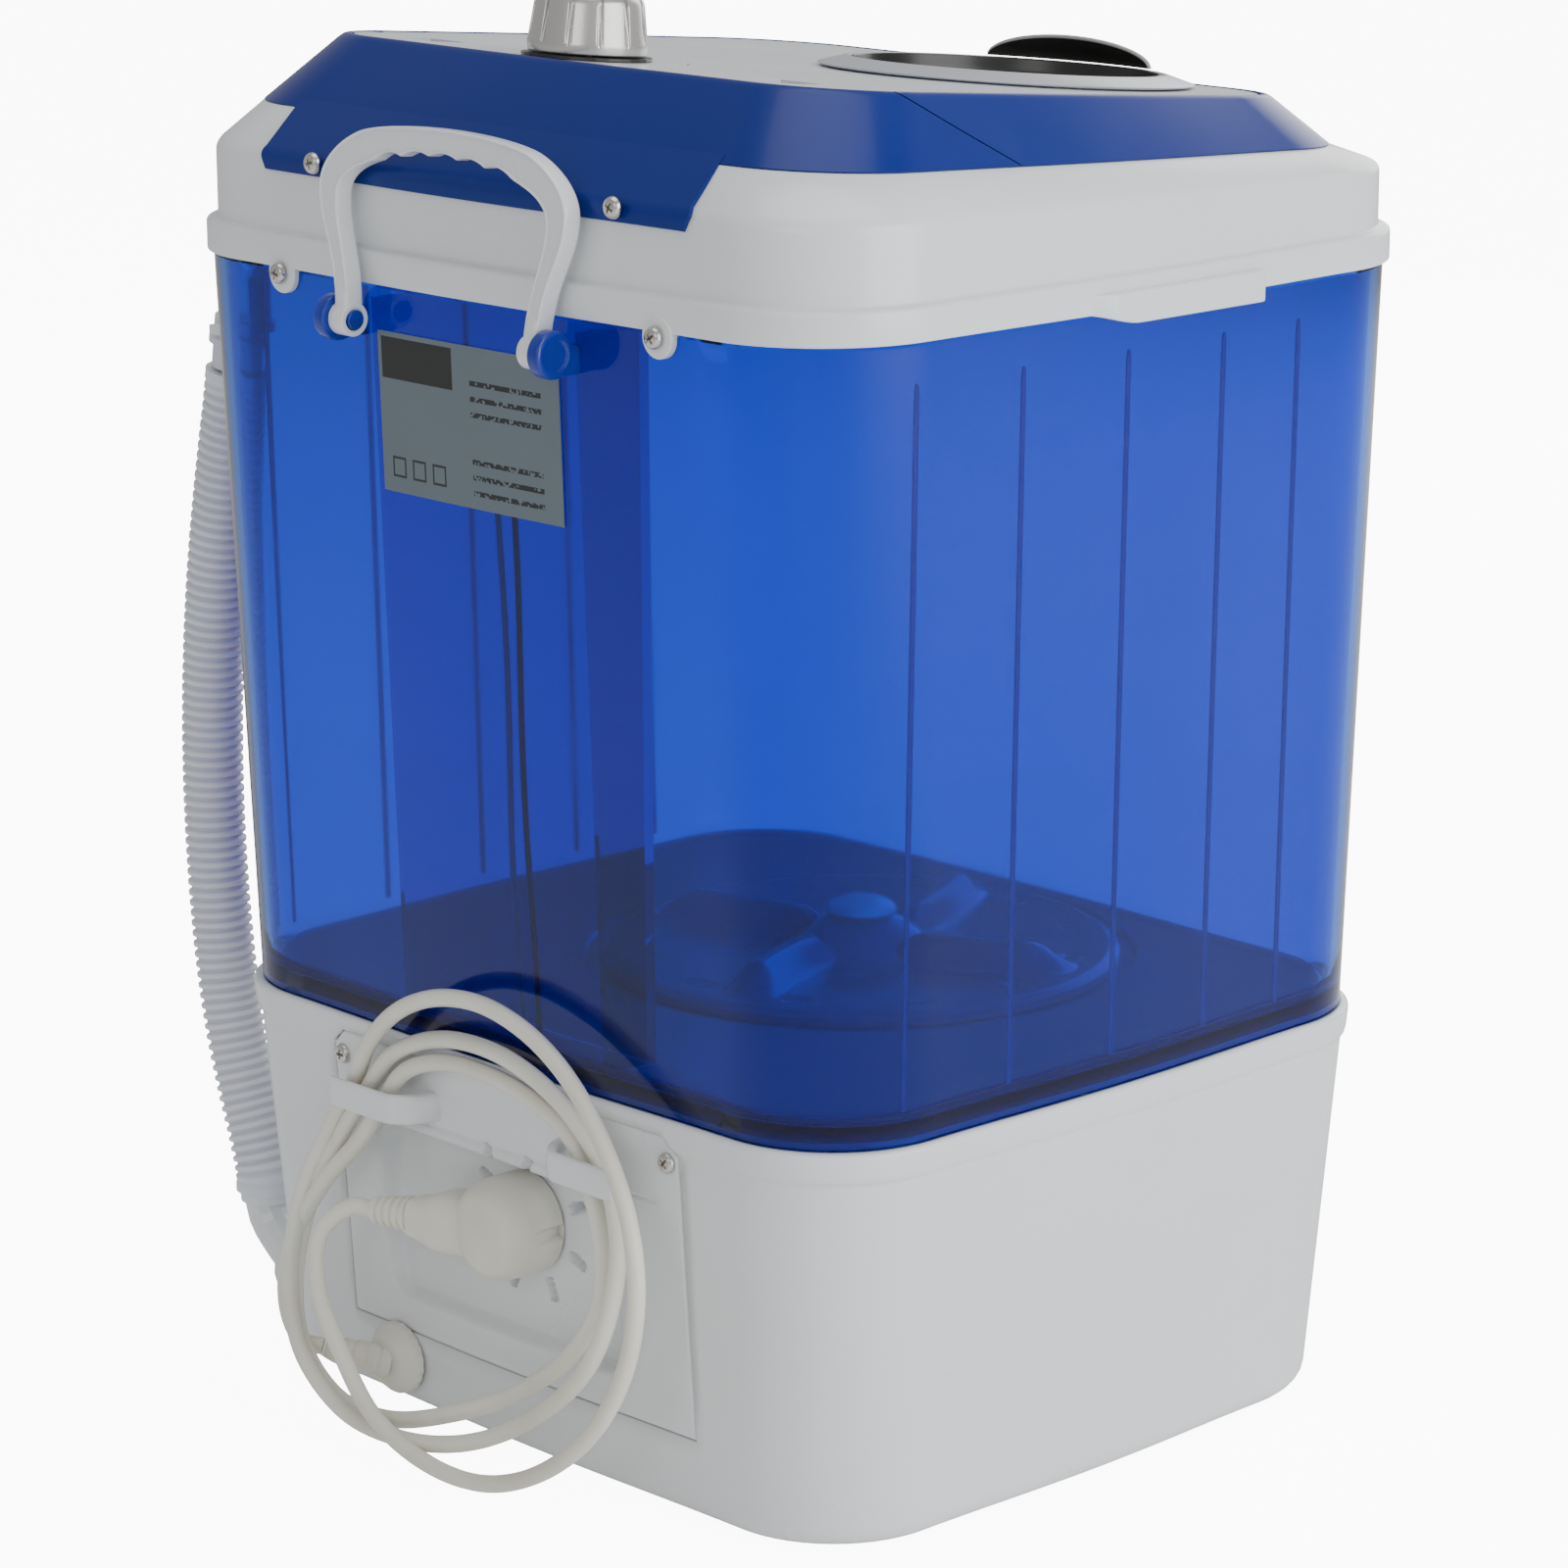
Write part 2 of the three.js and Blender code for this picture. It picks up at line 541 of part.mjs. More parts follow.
// The flap of the console hangs over the rear wall of the top frame.
const flapBottomZ = tubTopZ + 37.5;
function flap() {
  const shape = new THREE.Shape();
  shape.moveTo(-120.5, flapBottomZ);
  shape.lineTo(120.5, flapBottomZ);
  shape.quadraticCurveTo(127, flapBottomZ + 14, 119, flapBottomZ + 27);
  shape.lineTo(-119, flapBottomZ + 27);
  shape.quadraticCurveTo(-127, flapBottomZ + 14, -120.5, flapBottomZ);
  const area = frontProfile(shape, 90, 220);
  const grow = gap + 1.6;
  const skin = (by) => join(
    block(inset(wall, -by), flat(rimTopZ), inset(wall, -by), (x, y) => crease(x, y) + by * 0.4),
    block(inset(wall, -by), (x, y) => crease(x, y) + by * 0.4 - 0.01,
      inset(shoulderTop, -by), (x, y) => shoulder(x, y) + by * 0.9));
  return cut(skin(grow), skin(gap)).intersect(area);
}

function consoleCover() {
  const seat = ringBody(24, 30, tubTopZ + 40, tubTopZ + 140, knobX, knobY, 32).intersect(
    cut(insertSeat(0, deckInsert + 3), insertSeat(0, deckInsert + gap)));
  const shell = consoleSide(bezelShell());
  const lugs = [-1, 1].flatMap((side) => [-1, 1].map((end) => {
    const x = side * hingeX + end * (hingeArmWidth / 2 + 3);
    return box(x - 2.3, x + 2.3, seamY(hingeZ) + 2, hingeY + 6, hingeZ - 4, hingeZ + 1);
  }));
  const notches = [-1, 1].map((side) => hingeNotch(side));
  const bores = [-1, 1].map((side) => hingePinRod(side, pinRadius + gap));
  const body = cut(join(shell, flap(), seat), ...notches, ...consoleScrewHoles(),
    rod([knobX, knobY, tubTopZ], [knobX, knobY, 600], 24, 32));
  return part('console_cover', cut(join(body, frontLip(), ...lugs), ...bores), bluePlastic);
}

// The room inside the bezel that the two leaning walls fill, biting into the bezel's sides.
const partitionSpace = () => block(
  inset(shoulderTop, bezelWall - 0.7), (x, y) => shoulder(x, y) + gap + 0.5,
  inset(deckTop, bezelWall - 0.7), lowered(deck, deckInsert + gap + 0.6));

// The leaning front wall of the console, with room for the hinge arms.
function frontLip() {
  const leaning = frontSide(0).subtract(apron(0));
  const behind = frontSide(-3 * seamLean).subtract(apron(-3));
  const inside = partitionSpace();
  return cut(inside.intersect(behind), leaning, ...[-1, 1].map((side) => hingeNotch(side)));
}

const hingePinRod = (side, radius) => rod(
  [side * hingeX - hingeArmWidth / 2 - 5, hingeY, hingeZ],
  [side * hingeX + hingeArmWidth / 2 + 5, hingeY, hingeZ], radius, 16);

const hingePin = (name, side) => part(name, hingePinRod(side, pinRadius), steel);

function consoleDeck() {
  const shaftHole = rod([knobX, knobY, tubTopZ], [knobX, knobY, 700], 5, 20);
  const plate = consoleSide(insertPlate());
  return part('console_deck',
    cut(plate, shaftHole, ...[-1, 1].map((side) => hingeNotch(side))), whitePlastic);
}

function lidFrame() {
  const shell = bezelShell().intersect(lidSide());
  const arms = [-1, 1].map((side) => {
    const half = hingeArmWidth / 2;
    const barrel = rod([side * hingeX - half, hingeY, hingeZ],
      [side * hingeX + half, hingeY, hingeZ], 3.4, 20);
    const y = seamY(hingeZ) - seamGap;
    const bar = box(side * hingeX - half, side * hingeX + half, y - 9, hingeY,
      hingeZ - 4, hingeZ - 0.2);
    return cut(join(barrel, bar), hingePinRod(side, pinRadius + gap));
  });
  const frame = cut(join(shell, lidRearWall()), deckHole(ringX, ringY, ringRadius - 9));
  return part('lid_frame', join(frame, ...arms), bluePlastic);
}

// The lid's own leaning rear wall, from the chamfer on one side to the other.
function lidRearWall() {
  const inside = partitionSpace();
  const deeper = frontSide(seamGap + 3 * seamLean).subtract(apron(seamGap + 3));
  return inside.intersect(lidSide()).subtract(deeper);
}

// The window group is drawn flat about the Z axis, then tilted with the deck.
function onDeck(mesh, x, y, lift = 0) {
  const holder = new THREE.Group();
  holder.position.set(x, y, deck(x, y) + lift);
  holder.rotation.x = deckTilt;
  holder.add(mesh);
  return holder;
}

function deckHole(x, y, radius) {
  const geometry = new THREE.CylinderGeometry(radius, radius, 60, 40);
  return solid(geometry.rotateX(Math.PI / 2).rotateX(deckTilt).translate(x, y, deck(x, y)));
}

function lidDeck() {
  const plate = insertPlate().intersect(lidSide());
  return part('lid_deck', cut(plate, deckHole(ringX, ringY, ringRadius - 9)), whitePlastic);
}

function lidRing() {
  const body = turned([[ringRadius - ringWidth, -7], [ringRadius - 10, -7],
    [ringRadius - 10, gap], [ringRadius - 2, gap], [ringRadius, 1.2],
    [ringRadius - ringWidth + 1.5, ringRise], [ringRadius - ringWidth, ringRise - 0.4],
    [ringRadius - ringWidth, -7]], 0, 0, 40);
  return onDeck(part('lid_ring', body, silverPlastic), ringX, ringY);
}

function lidWindow() {
  const r = ringRadius - ringWidth - gap;
  const lip = ringRise - 0.3;
  const body = turned([[0, -14], [r - 14, -12], [r, -5], [r, lip], [r - 1.4, lip], [r - 2.2, -3],
    [r - 15, -9.5], [0, -11.5]], 0, 0, 36);
  return onDeck(part('lid_window', body, smokedPlastic), ringX, ringY);
}

// A thumb hood that rises over one side of the dish: a crescent of a low dome.
const gripAngle = -75;           // degrees, the side of the dish that the hood stands on
const gripRadius = ringRadius - ringWidth + 2.5;
const gripMouth = 0.8094 * gripRadius; // from the middle of the dish to the hood's open side
function lidGrip() {
  const dome = (radius, rise) => {
    const points = Array.from({ length: 7 }, (_, i) => {
      const t = i * Math.PI / 12;
      return [radius * Math.cos(t), rise * Math.sin(t)];
    });
    return turned([[0, -1], [radius, -1], ...points.slice(0, -1), [0, rise]], 0, 0, 60);
  };
  const shell = cut(dome(gripRadius, gripRise), dome(gripRadius - 2.4, gripRise - 2.2));
  const keep = box(gripMouth, 80, -60, 60, 0.05, 60);
  const geometry = geometryOf(shell.intersect(keep));
  geometry.rotateZ(THREE.MathUtils.degToRad(gripAngle));
  return onDeck(part('lid_grip', solid(geometry), smokedPlastic), ringX, ringY, ringRise + gap);
}

// ---- timer ----
function timerKnob() {
  const body = turned([[0, 1.3 + gap], [knobRadius, 1.3 + gap], [knobRadius, 5],
    [knobTopRadius, knobHeight - 2], [knobTopRadius - 2, knobHeight],
    [16, knobHeight], [16, knobHeight - 1.6], [0, knobHeight - 1.6]], 0, 0, 36);
  const flutes = Array.from({ length: 12 }, (_, i) => {
    const angle = i * Math.PI / 6;
    const [c, s] = [Math.cos(angle), Math.sin(angle)];
    return rod([c * (knobRadius + 1.8), s * (knobRadius + 1.8), 6],
      [c * (knobTopRadius + 1.8), s * (knobTopRadius + 1.8), knobHeight + 2], 3, 8);
  });
  const bore = rod([0, 0, 0], [0, 0, 14], 3 + gap, 20);
  return onDeck(part('timer_knob', cut(body, ...flutes, bore), silverPlastic), knobX, knobY);
}

function knobCap() {
  const body = turned([[0, knobHeight - 1.6 + gap], [16 - gap, knobHeight - 1.6 + gap],
    [16 - gap, knobHeight - 0.4], [0, knobHeight + 0.4]], 0, 0, 40);
  return onDeck(part('knob_cap', body, bluePlastic), knobX, knobY);
}

const timerShaft = () => onDeck(
  part('timer_shaft', rod([0, 0, -12], [0, 0, 13.5], 3, 20), steel), knobX, knobY);

const dialPlate = () => onDeck(
  part('dial_plate', ringBody(5, 25, gap - 0.4, 1, 0, 0, 32), smokedPlastic), knobX, knobY);

const timerBody = () => onDeck(
  part('timer_body', cut(ringBody(4, 20, -30, -4 - deckInsert, 0, 0, 20),
    rod([0, 0, -20], [0, 0, 0], 4, 20)), paintedMetal), knobX, knobY);

// ---- carrying handle ----
// Drawn about its pivot: two S-shaped legs, a flat arch, and finger hollows under the arch.
function rearHandle() {
  const [w, h, t] = [handleHalfWidth, handleHeight, handleThickness];
  const shape = new THREE.Shape();
  shape.moveTo(handleX + 3.4, 0);
  shape.bezierCurveTo(handleX + 3.4, 27, w, 34, w, 50);
  shape.bezierCurveTo(w, 60, w - 12, h - 8, w - 22, h - 4.5);
  shape.bezierCurveTo(w - 42, h + 1.5, -w + 42, h + 1.5, -w + 22, h - 4.5);
  shape.bezierCurveTo(-w + 12, h - 8, -w, 60, -w, 50);
  shape.bezierCurveTo(-w, 34, -handleX - 3.4, 27, -handleX - 3.4, 0);
  shape.lineTo(-handleX + 3.9, 0);
  shape.bezierCurveTo(-handleX + 3.9, 22, -w + t + 1, 34, -w + t + 2, 47);
  shape.bezierCurveTo(-w + t + 2, 55, -w + 24, h - 17, -w + 31, h - 15);
  const hollows = 5;
  const span = (2 * w - 62) / hollows;
  for (let i = 0; i < hollows; i++) {
    const x = -w + 31 + i * span;
    const arch = h - 15 + 4.5 * (1 - ((i + 1) / hollows * 2 - 1) ** 2);
    const peak = h - 10.5 + 3 * (1 - ((i + 0.5) / hollows * 2 - 1) ** 2);
    shape.quadraticCurveTo(x + span / 2, peak, x + span, arch);
  }
  shape.bezierCurveTo(w - 24, h - 17, w - t - 2, 55, w - t - 2, 47);
  shape.bezierCurveTo(w - t - 1, 34, handleX - 3.9, 22, handleX - 3.9, 0);
  const geometry = new THREE.ExtrudeGeometry(
    shape, { depth: t, bevelEnabled: false, curveSegments: 6 });
  const bar = solid(geometry.rotateX(Math.PI / 2).translate(0, t / 2, 0));
  const eyes = [-1, 1].map((side) => rod([side * (handleX - eyeWidth / 2), 0, 0],
    [side * (handleX + eyeWidth / 2), 0, 0], eyeRadius, 24));
  const bores = [-1, 1].map((side) => rod([side * (handleX - 9), 0, 0],
    [side * (handleX + 9), 0, 0], eyePinRadius + gap, 20));
  const mesh = part('rear_handle', cut(join(bar, ...eyes), ...bores), whitePlastic);
  mesh.position.set(0, handleY, bossZ);
  mesh.rotation.x = THREE.MathUtils.degToRad(handleLean);
  return mesh;
}

// ---- pulsator and drive ----
function pulsator() {
  const low = tubFloorZ - 1.6 + gap;
  const r = pulsatorRadius;
  const disc = turned([[shaftRadius + gap, low], [r, low], [r, low + 2.4], [r - 6, low + 4],
    [34, low + 4], [26, low + 12], [16, low + 18], [shaftRadius + gap, low + 18],
    [shaftRadius + gap, low]], 0, pulsatorY, 40);
  const vanes = Array.from({ length: 4 }, (_, i) => {
    const vane = new THREE.CylinderGeometry(2, 9, 11, 4, 1);
    vane.rotateY(Math.PI / 4).scale(4.6, 1, 0.7).rotateX(Math.PI / 2);
    vane.translate(58, 0, low + 3 + 5.5).rotateZ(i * Math.PI / 2).translate(0, pulsatorY, 0);
    return solid(vane);
  });
  return part('pulsator', join(disc, ...vanes), tubPlastic);
}

function pulsatorCap() {
  const low = tubFloorZ - 1.6 + gap + 18 + gap;
  return part('pulsator_cap', turned([[0, low], [14, low], [13, low + 3], [6, low + 6], [0, low + 6.6]],
    0, pulsatorY, 32), whitePlastic);
}

const driveZ = 60;               // lower face of both pulleys
const beltWidth = 8;
const driveShaft = () => part('drive_shaft', rod([0, pulsatorY, driveZ - 4],
  [0, pulsatorY, tubFloorZ + 15], shaftRadius, 24), steel);

// A belt pulley: two flanges, a groove, and a bore for its shaft.
const pulley = (name, radius, bore, x, material) => part(name, turned(
  [[bore, driveZ], [radius + 2, driveZ], [radius + 2, driveZ + 1.4], [radius, driveZ + 1.8],
    [radius, driveZ + 11.2], [radius + 2, driveZ + 11.6], [radius + 2, driveZ + 13],
    [bore, driveZ + 13], [bore, driveZ]], x, pulsatorY, radius > 30 ? 32 : 20), material);

// The belt runs round both pulleys in one closed loop.
function driveBelt() {
  const loop = (grow) => {
    const [big, small] = [drivePulleyRadius + grow, motorPulleyRadius + grow];
    const tilt = Math.acos((big - small) / motorX);
    const shape = new THREE.Shape();
    shape.absarc(0, 0, big, tilt, 2 * Math.PI - tilt);
    shape.absarc(motorX, 0, small, -tilt, tilt);
    return shape;
  };
  const layer = (grow, z0, z1) => {
    const geometry = new THREE.ExtrudeGeometry(loop(grow),
      { depth: z1 - z0, bevelEnabled: false, curveSegments: 16 });
    return solid(geometry.translate(0, pulsatorY, z0));
  };
  const z = driveZ + 6.5 - beltWidth / 2;
  return part('drive_belt', cut(layer(2.6, z, z + beltWidth), layer(gap, z - 1, z + beltWidth + 1)),
    rubber);
}

const bearingTopZ = baseHeight + tubFloorRise - gap;
const bearingHousing = () => part('bearing_housing', turned(
  [[shaftRadius + gap, 112], [13, 112], [15, 116], [15, bearingTopZ - 14], [38, bearingTopZ - 5],
    [44, bearingTopZ - 5], [44, bearingTopZ], [shaftRadius + gap, bearingTopZ],
    [shaftRadius + gap, 112]], 0, pulsatorY, 24), paintedMetal);

const shaftSeal = () => part('shaft_seal', ringBody(shaftRadius + gap, 11 - gap,
  bearingTopZ + gap, tubFloorZ - 1.6, 0, pulsatorY, 32), rubber);

const motorTopZ = 150;
const motorBottomZ = driveZ + 22;
function motorBody() {
  const can = turned([[4.6, motorBottomZ], [12, motorBottomZ], [14, motorBottomZ + 3],
    [motorRadius - 4, motorBottomZ + 4], [motorRadius, motorBottomZ + 8],
    [motorRadius, motorTopZ - 6], [motorRadius - 4, motorTopZ], [0, motorTopZ],
    [0, motorTopZ - 20], [4.6, motorTopZ - 20], [4.6, motorBottomZ]], motorX, pulsatorY, 24);
  return part('motor', can, paintedMetal);
}

const motorShaft = () => part('motor_shaft', rod([motorX, pulsatorY, driveZ - 3],
  [motorX, pulsatorY, motorTopZ - 21], 4, 20), steel);

function motorBracket() {
  const plate = box(motorX - 50, motorX + 50, pulsatorY - 46, pulsatorY + 46,
    motorTopZ + gap, motorTopZ + 3);
  const posts = [-1, 1].flatMap((i) => [-1, 1].map((j) => rod(
    [motorX + i * 42, pulsatorY + j * 38, motorTopZ + 2],
    [motorX + i * 42, pulsatorY + j * 38, bearingTopZ], 6, 16)));
  return part('motor_bracket', join(plate, ...posts), paintedMetal);
}

const capacitor = () => part('capacitor', join(
  rod([-112, 62, 5 + gap], [-112, 62, 62], 18, 32),
  ...[-1, 1].map((side) => box(-112 + side * 7 - 1, -112 + side * 7 + 1, 58, 66, 60, 70))),
whitePlastic);

// ---- drain hose ----
const spigotTurn = 26;           // radius of the elbow
const spigotTopZ = 52;

function drainElbow() {
  const wallX = THREE.MathUtils.lerp(footprintHalfWidth, tubBottomHalfWidth + 1.5, spigotZ / baseHeight);
  const points = [[wallX - 22, hoseY, spigotZ], [wallX - 8, hoseY, spigotZ],
    [wallX + 6, hoseY, spigotZ + 1], [spigotX - 12, hoseY, spigotZ + 7],
    [spigotX - 3, hoseY, spigotZ + 15], [spigotX, hoseY, spigotTopZ - 7],
    [spigotX, hoseY, spigotTopZ - 0.5]];
  const pipe = tube(points, 2 * spigotRadius, 12, 12);
  const collar = rod([wallX + crown + gap + 1, hoseY, spigotZ + 0.6],
    [wallX + crown + gap + 4, hoseY, spigotZ + 1], spigotRadius + 4, 20);
  const lip = rod([spigotX, hoseY, spigotTopZ - 4], [spigotX, hoseY, spigotTopZ], spigotLip, 20);
  return part('drain_elbow', cut(join(pipe, collar, lip),
    rod([wallX - 40, hoseY, spigotZ], [wallX - 6, hoseY, spigotZ], 6, 16)), whitePlastic);
}

// The hose bows outwards between the elbow and the cuff that hangs under the rim.
const hoseRoute = [[203, hoseY, 52.6], [203, hoseY, 60], [207, hoseY, 75],
  [213.5, hoseY, 94], [220, hoseY, 116],
  [225, hoseY, 140], [228.5, hoseY, 168], [230.5, hoseY, 198], [231, hoseY, 228],
  [230, hoseY, 258], [227.5, hoseY, 288], [223.5, hoseY, 318], [218.5, hoseY, 346],
  [213, hoseY, 372], [208.5, hoseY, 392], [206, hoseY, 405]];
// The cuff leans in a little; its places are [x, z], x counted from the tub mouth's side and
// z from the tub mouth.
const cuffLow = [tubTopHalfWidth + 16.4, tubTopZ - 56.1];
const cuffHigh = [tubTopHalfWidth + 13.2, tubTopZ - 35];
const cuffRadius = 10.5;
const cuffAt = (share) => [THREE.MathUtils.lerp(cuffLow[0], cuffHigh[0], share), hoseY,
  THREE.MathUtils.lerp(cuffLow[1], cuffHigh[1], share)];

function hoseCuff() {
  const body = join(rod(cuffAt(0), cuffAt(1), cuffRadius, 24),
    rod(cuffAt(0.46), cuffAt(0.65), cuffRadius + 2, 24));
  return part('hose_cuff', cut(body, rod(cuffAt(0.67), cuffAt(1.14), 7, 20)), hosePlastic);
}

// A hook under the rim that the cuff hangs in: an arm down the wall and a claw round the cuff.
const clawX = tubTopHalfWidth + 13.8;
const clawZ = [tubTopZ - 41, tubTopZ - 37];
const clawRadius = cuffRadius + 4.5;
const clawRoom = 0.9;            // round the leaning cuff
function hoseHook() {
  const wallX = tubTopHalfWidth + crown * 0.5 - 0.24;
  const pillar = (radius, z0, z1) => rod([clawX, hoseY, z0], [clawX, hoseY, z1], radius, 28);
  const arm = box(wallX, wallX + 4.4, hoseY - 7, hoseY + 7, clawZ[0], tubTopZ - gap);
  const body = cut(join(arm, pillar(clawRadius, ...clawZ)),
    pillar(cuffRadius + clawRoom, clawZ[0] - 1, tubTopZ - 33.5),
    box(clawX + 1, clawX + 40, hoseY - 20, hoseY + 20, clawZ[0] - 10, tubTopZ),
    box(wallX - 90, wallX, hoseY - 30, hoseY + 30, clawZ[0] - 20, tubTopZ));
  return part('hose_hook', body, whitePlastic);
}

// ---- mains lead ----
const glandFace = rearFace(glandZ);
const glandLean = [0.72, 0.66, 0.2]; // the strain relief turns aside, along the wall
const alongGland = (length) => [glandX + glandLean[0] * length,
  glandFace + 7 + glandLean[1] * length, glandZ + glandLean[2] * length];

function cordGland() {
  const at = (y) => [glandX, y, glandZ];
  const bell = join(
    rod(at(glandFace + gap), at(glandFace + 3), glandRadius, 24),
    rod(at(glandFace + 3), at(glandFace + 9), glandRadius, 24, 9));
  const sleeve = rod(alongGland(-2), alongGland(26), 6.8, 20, 4.4);
  const stem = rod(at(glandFace - 10), at(glandFace + 1), 7, 20);
  return part('cord_gland', join(bell, sleeve, stem), cream);
}

// The plug's neck leaves its head sideways; lengths are counted from the neck's end.
const plugFace = pocketFloor + gap;
const plugTip = (length) => [plugX + 60 + 0.965 * length, plugFace + 29 + 0.26 * length,
  plugZ - 4 - 0.05 * length];

// Three loops over the hooks, inner to outer, then back up to the parked plug.
const leadRoute = [
  alongGland(27), alongGland(31), alongGland(35), [104, 184, 37], [108, 182.5, 52], [105, 179, 72],
  [92, 173.5, 96], [73, 168.8, 118], [59, 168, 137], [46, 168, 151], [22, 168.2, 160],
  [-6, 168.3, 161], [-34, 168.2, 156], [-53, 168, 146], [-63, 168, 130], [-72, 170, 106],
  [-72, 172, 84], [-57, 175, 61], [-30, 178, 40], [4, 181, 23], [40, 186, 12], [70, 188, 14],
  [94, 186.5, 32], [104, 180, 58], [100, 173, 90], [86, 169, 116], [70, 168, 138], [54, 168, 156],
  [24, 168.5, 169], [-10, 168.5, 171], [-40, 168.5, 163], [-60, 168, 150], [-73, 168, 134],
  [-82, 171, 112], [-83, 176, 88], [-74, 181, 62], [-50, 186, 38], [-16, 190, 19],
  [20, 194, 11], [56, 196, 14], [84, 194.5, 32], [99, 187, 58], [103, 177, 88],
  [93, 171, 115], [80, 168, 137], [64, 171, 160], [42, 174, 178], [16, 175.5, 189],
  [-12, 176, 192], [-40, 176.5, 186], [-64, 177.5, 173], [-86, 180, 152], [-102, 183, 128],
  [-109, 186, 102], [-106, 189, 74], [-93, 193, 47], [-68, 197, 24], [-36, 199, 10],
  [0, 199, 8], [34, 198, 18], [58, 195, 38], [78, 190, 60], [80, 186, 80],
  plugTip(12), plugTip(5), plugTip(0.5)];

function plugBody() {
  const along = (y) => [plugX, plugFace + y, plugZ];
  const head = join(rod(along(0), along(19), plugRadius, 24),
    rod(along(19), along(27), plugRadius, 24, plugRadius - 4));
  const neck = join(rod(plugTip(-52), plugTip(-21), 13, 20, 8.5),
    rod(plugTip(-22), plugTip(0), 8.5, 20, 5));
  const earths = [-1, 1].map((side) => box(plugX + side * 19, plugX + side * 19 + side * 4,
    plugFace - 1, plugFace + 14, plugZ - 2.2, plugZ + 2.2));
  return part('plug_body', cut(join(head, neck), ...earths), cream);
}
const plugPin = (name, side) => {
  const face = pocketFloor;
  return part(name, rod([plugX, face - 17, plugZ + side * 9.5], [plugX, face, plugZ + side * 9.5],
    2.4, 16), steel);
};

// ---- assembly ----
const machine = new THREE.Group();
machine.position.set((lugReach - elbowReach) / 2, (frontReach - rearReach) / 2, footHeight);
const footX = footprintHalfWidth - 34;
const footY = footprintHalfDepth - 32;
machine.add(
  baseHousing(), rearPanel(), basePlate(),
  foot('foot_front_left', -footX, -footY), foot('foot_front_right', footX, -footY),
  foot('foot_rear_left', -footX, footY), foot('foot_rear_right', footX, footY),
  screw('panel_screw_left', -panelScrewX, rearFace(panelScrewZ), panelScrewZ),
  screw('panel_screw_right', panelScrewX, rearFace(panelScrewZ), panelScrewZ),
  outerTub(), ductCover(), wire('wire_live', -6, liveWire), wire('wire_neutral', 2, neutralWire),
  ratingPlate(), topFrame(),
  screw('rim_screw_left', -rimScrewX, rimFace, rimScrewZ),
  screw('rim_screw_right', rimScrewX, rimFace, rimScrewZ),
  consoleCover(), consoleDeck(),
  screw('console_screw_left', -consoleScrewX, wallHalfDepth + crown + 2, consoleScrewZ),
  screw('console_screw_right', consoleScrewX, wallHalfDepth + crown + 2, consoleScrewZ),
  hingePin('hinge_pin_left', -1), hingePin('hinge_pin_right', 1),
  lidFrame(), lidDeck(), lidRing(), lidWindow(), lidGrip(),
  dialPlate(), timerBody(), timerShaft(), timerKnob(), knobCap(), rearHandle(),
  pulsator(), pulsatorCap(), driveShaft(),
  pulley('drive_pulley', drivePulleyRadius, shaftRadius + gap, 0, paintedMetal),
  pulley('motor_pulley', motorPulleyRadius, 4 + gap, motorX, paintedMetal),
  motorShaft(), driveBelt(), bearingHousing(), shaftSeal(), motorBody(), motorBracket(),
  capacitor(), drainElbow(), hoseCuff(), hoseHook(),
  part('drain_hose', tube(hoseRoute, hoseDiameter, 16, 12), hosePlastic),
  cordGland(), part('power_cord', tube(leadRoute, cordDiameter, 80, 8), cream),
  plugBody(), plugPin('plug_pin_upper', 1), plugPin('plug_pin_lower', -1));

export default machine;
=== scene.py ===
"""Looks of a portable top load washing machine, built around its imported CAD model.

Lengths in this file are millimetres in the machine's own frame: x to the hose side, y to the
rear, z up from the lower edge of the base. The function place() turns them into metres in the
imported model's frame, which it finds from the base housing's box.
"""
from math import atan, cos, pi, radians, sin

import bpy
import bmesh
import numpy as np
from mathutils import Matrix, Vector


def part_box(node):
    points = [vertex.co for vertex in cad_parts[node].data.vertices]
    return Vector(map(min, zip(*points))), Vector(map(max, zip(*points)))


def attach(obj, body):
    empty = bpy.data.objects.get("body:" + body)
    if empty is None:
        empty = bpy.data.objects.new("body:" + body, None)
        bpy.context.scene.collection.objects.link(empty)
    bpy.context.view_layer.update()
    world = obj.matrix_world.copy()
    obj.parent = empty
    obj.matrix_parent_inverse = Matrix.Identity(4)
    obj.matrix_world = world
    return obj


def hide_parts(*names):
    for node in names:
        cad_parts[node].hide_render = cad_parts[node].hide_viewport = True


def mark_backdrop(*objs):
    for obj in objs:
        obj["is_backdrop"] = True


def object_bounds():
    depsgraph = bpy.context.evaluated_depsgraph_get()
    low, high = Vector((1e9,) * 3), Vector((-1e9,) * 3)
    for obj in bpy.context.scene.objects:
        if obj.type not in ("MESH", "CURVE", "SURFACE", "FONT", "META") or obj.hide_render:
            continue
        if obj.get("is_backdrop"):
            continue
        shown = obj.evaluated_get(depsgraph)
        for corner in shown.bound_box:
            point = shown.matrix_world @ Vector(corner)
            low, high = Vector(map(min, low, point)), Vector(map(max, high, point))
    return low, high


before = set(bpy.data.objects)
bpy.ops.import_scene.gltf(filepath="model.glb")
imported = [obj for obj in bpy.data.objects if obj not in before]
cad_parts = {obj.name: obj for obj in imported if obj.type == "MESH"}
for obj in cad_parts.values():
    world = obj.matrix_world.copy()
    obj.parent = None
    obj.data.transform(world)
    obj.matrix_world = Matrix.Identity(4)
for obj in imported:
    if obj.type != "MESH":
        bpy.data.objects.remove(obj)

bl_info = {
    "name": "Portable washer looks",
    "version": (1, 0, 0),
    "blender": (4, 5, 0),
    "location": "View3D > Sidebar > Washer",
    "description": "Builds the visible surfaces and finishes of a portable washing machine",
    "category": "Add Mesh",
}

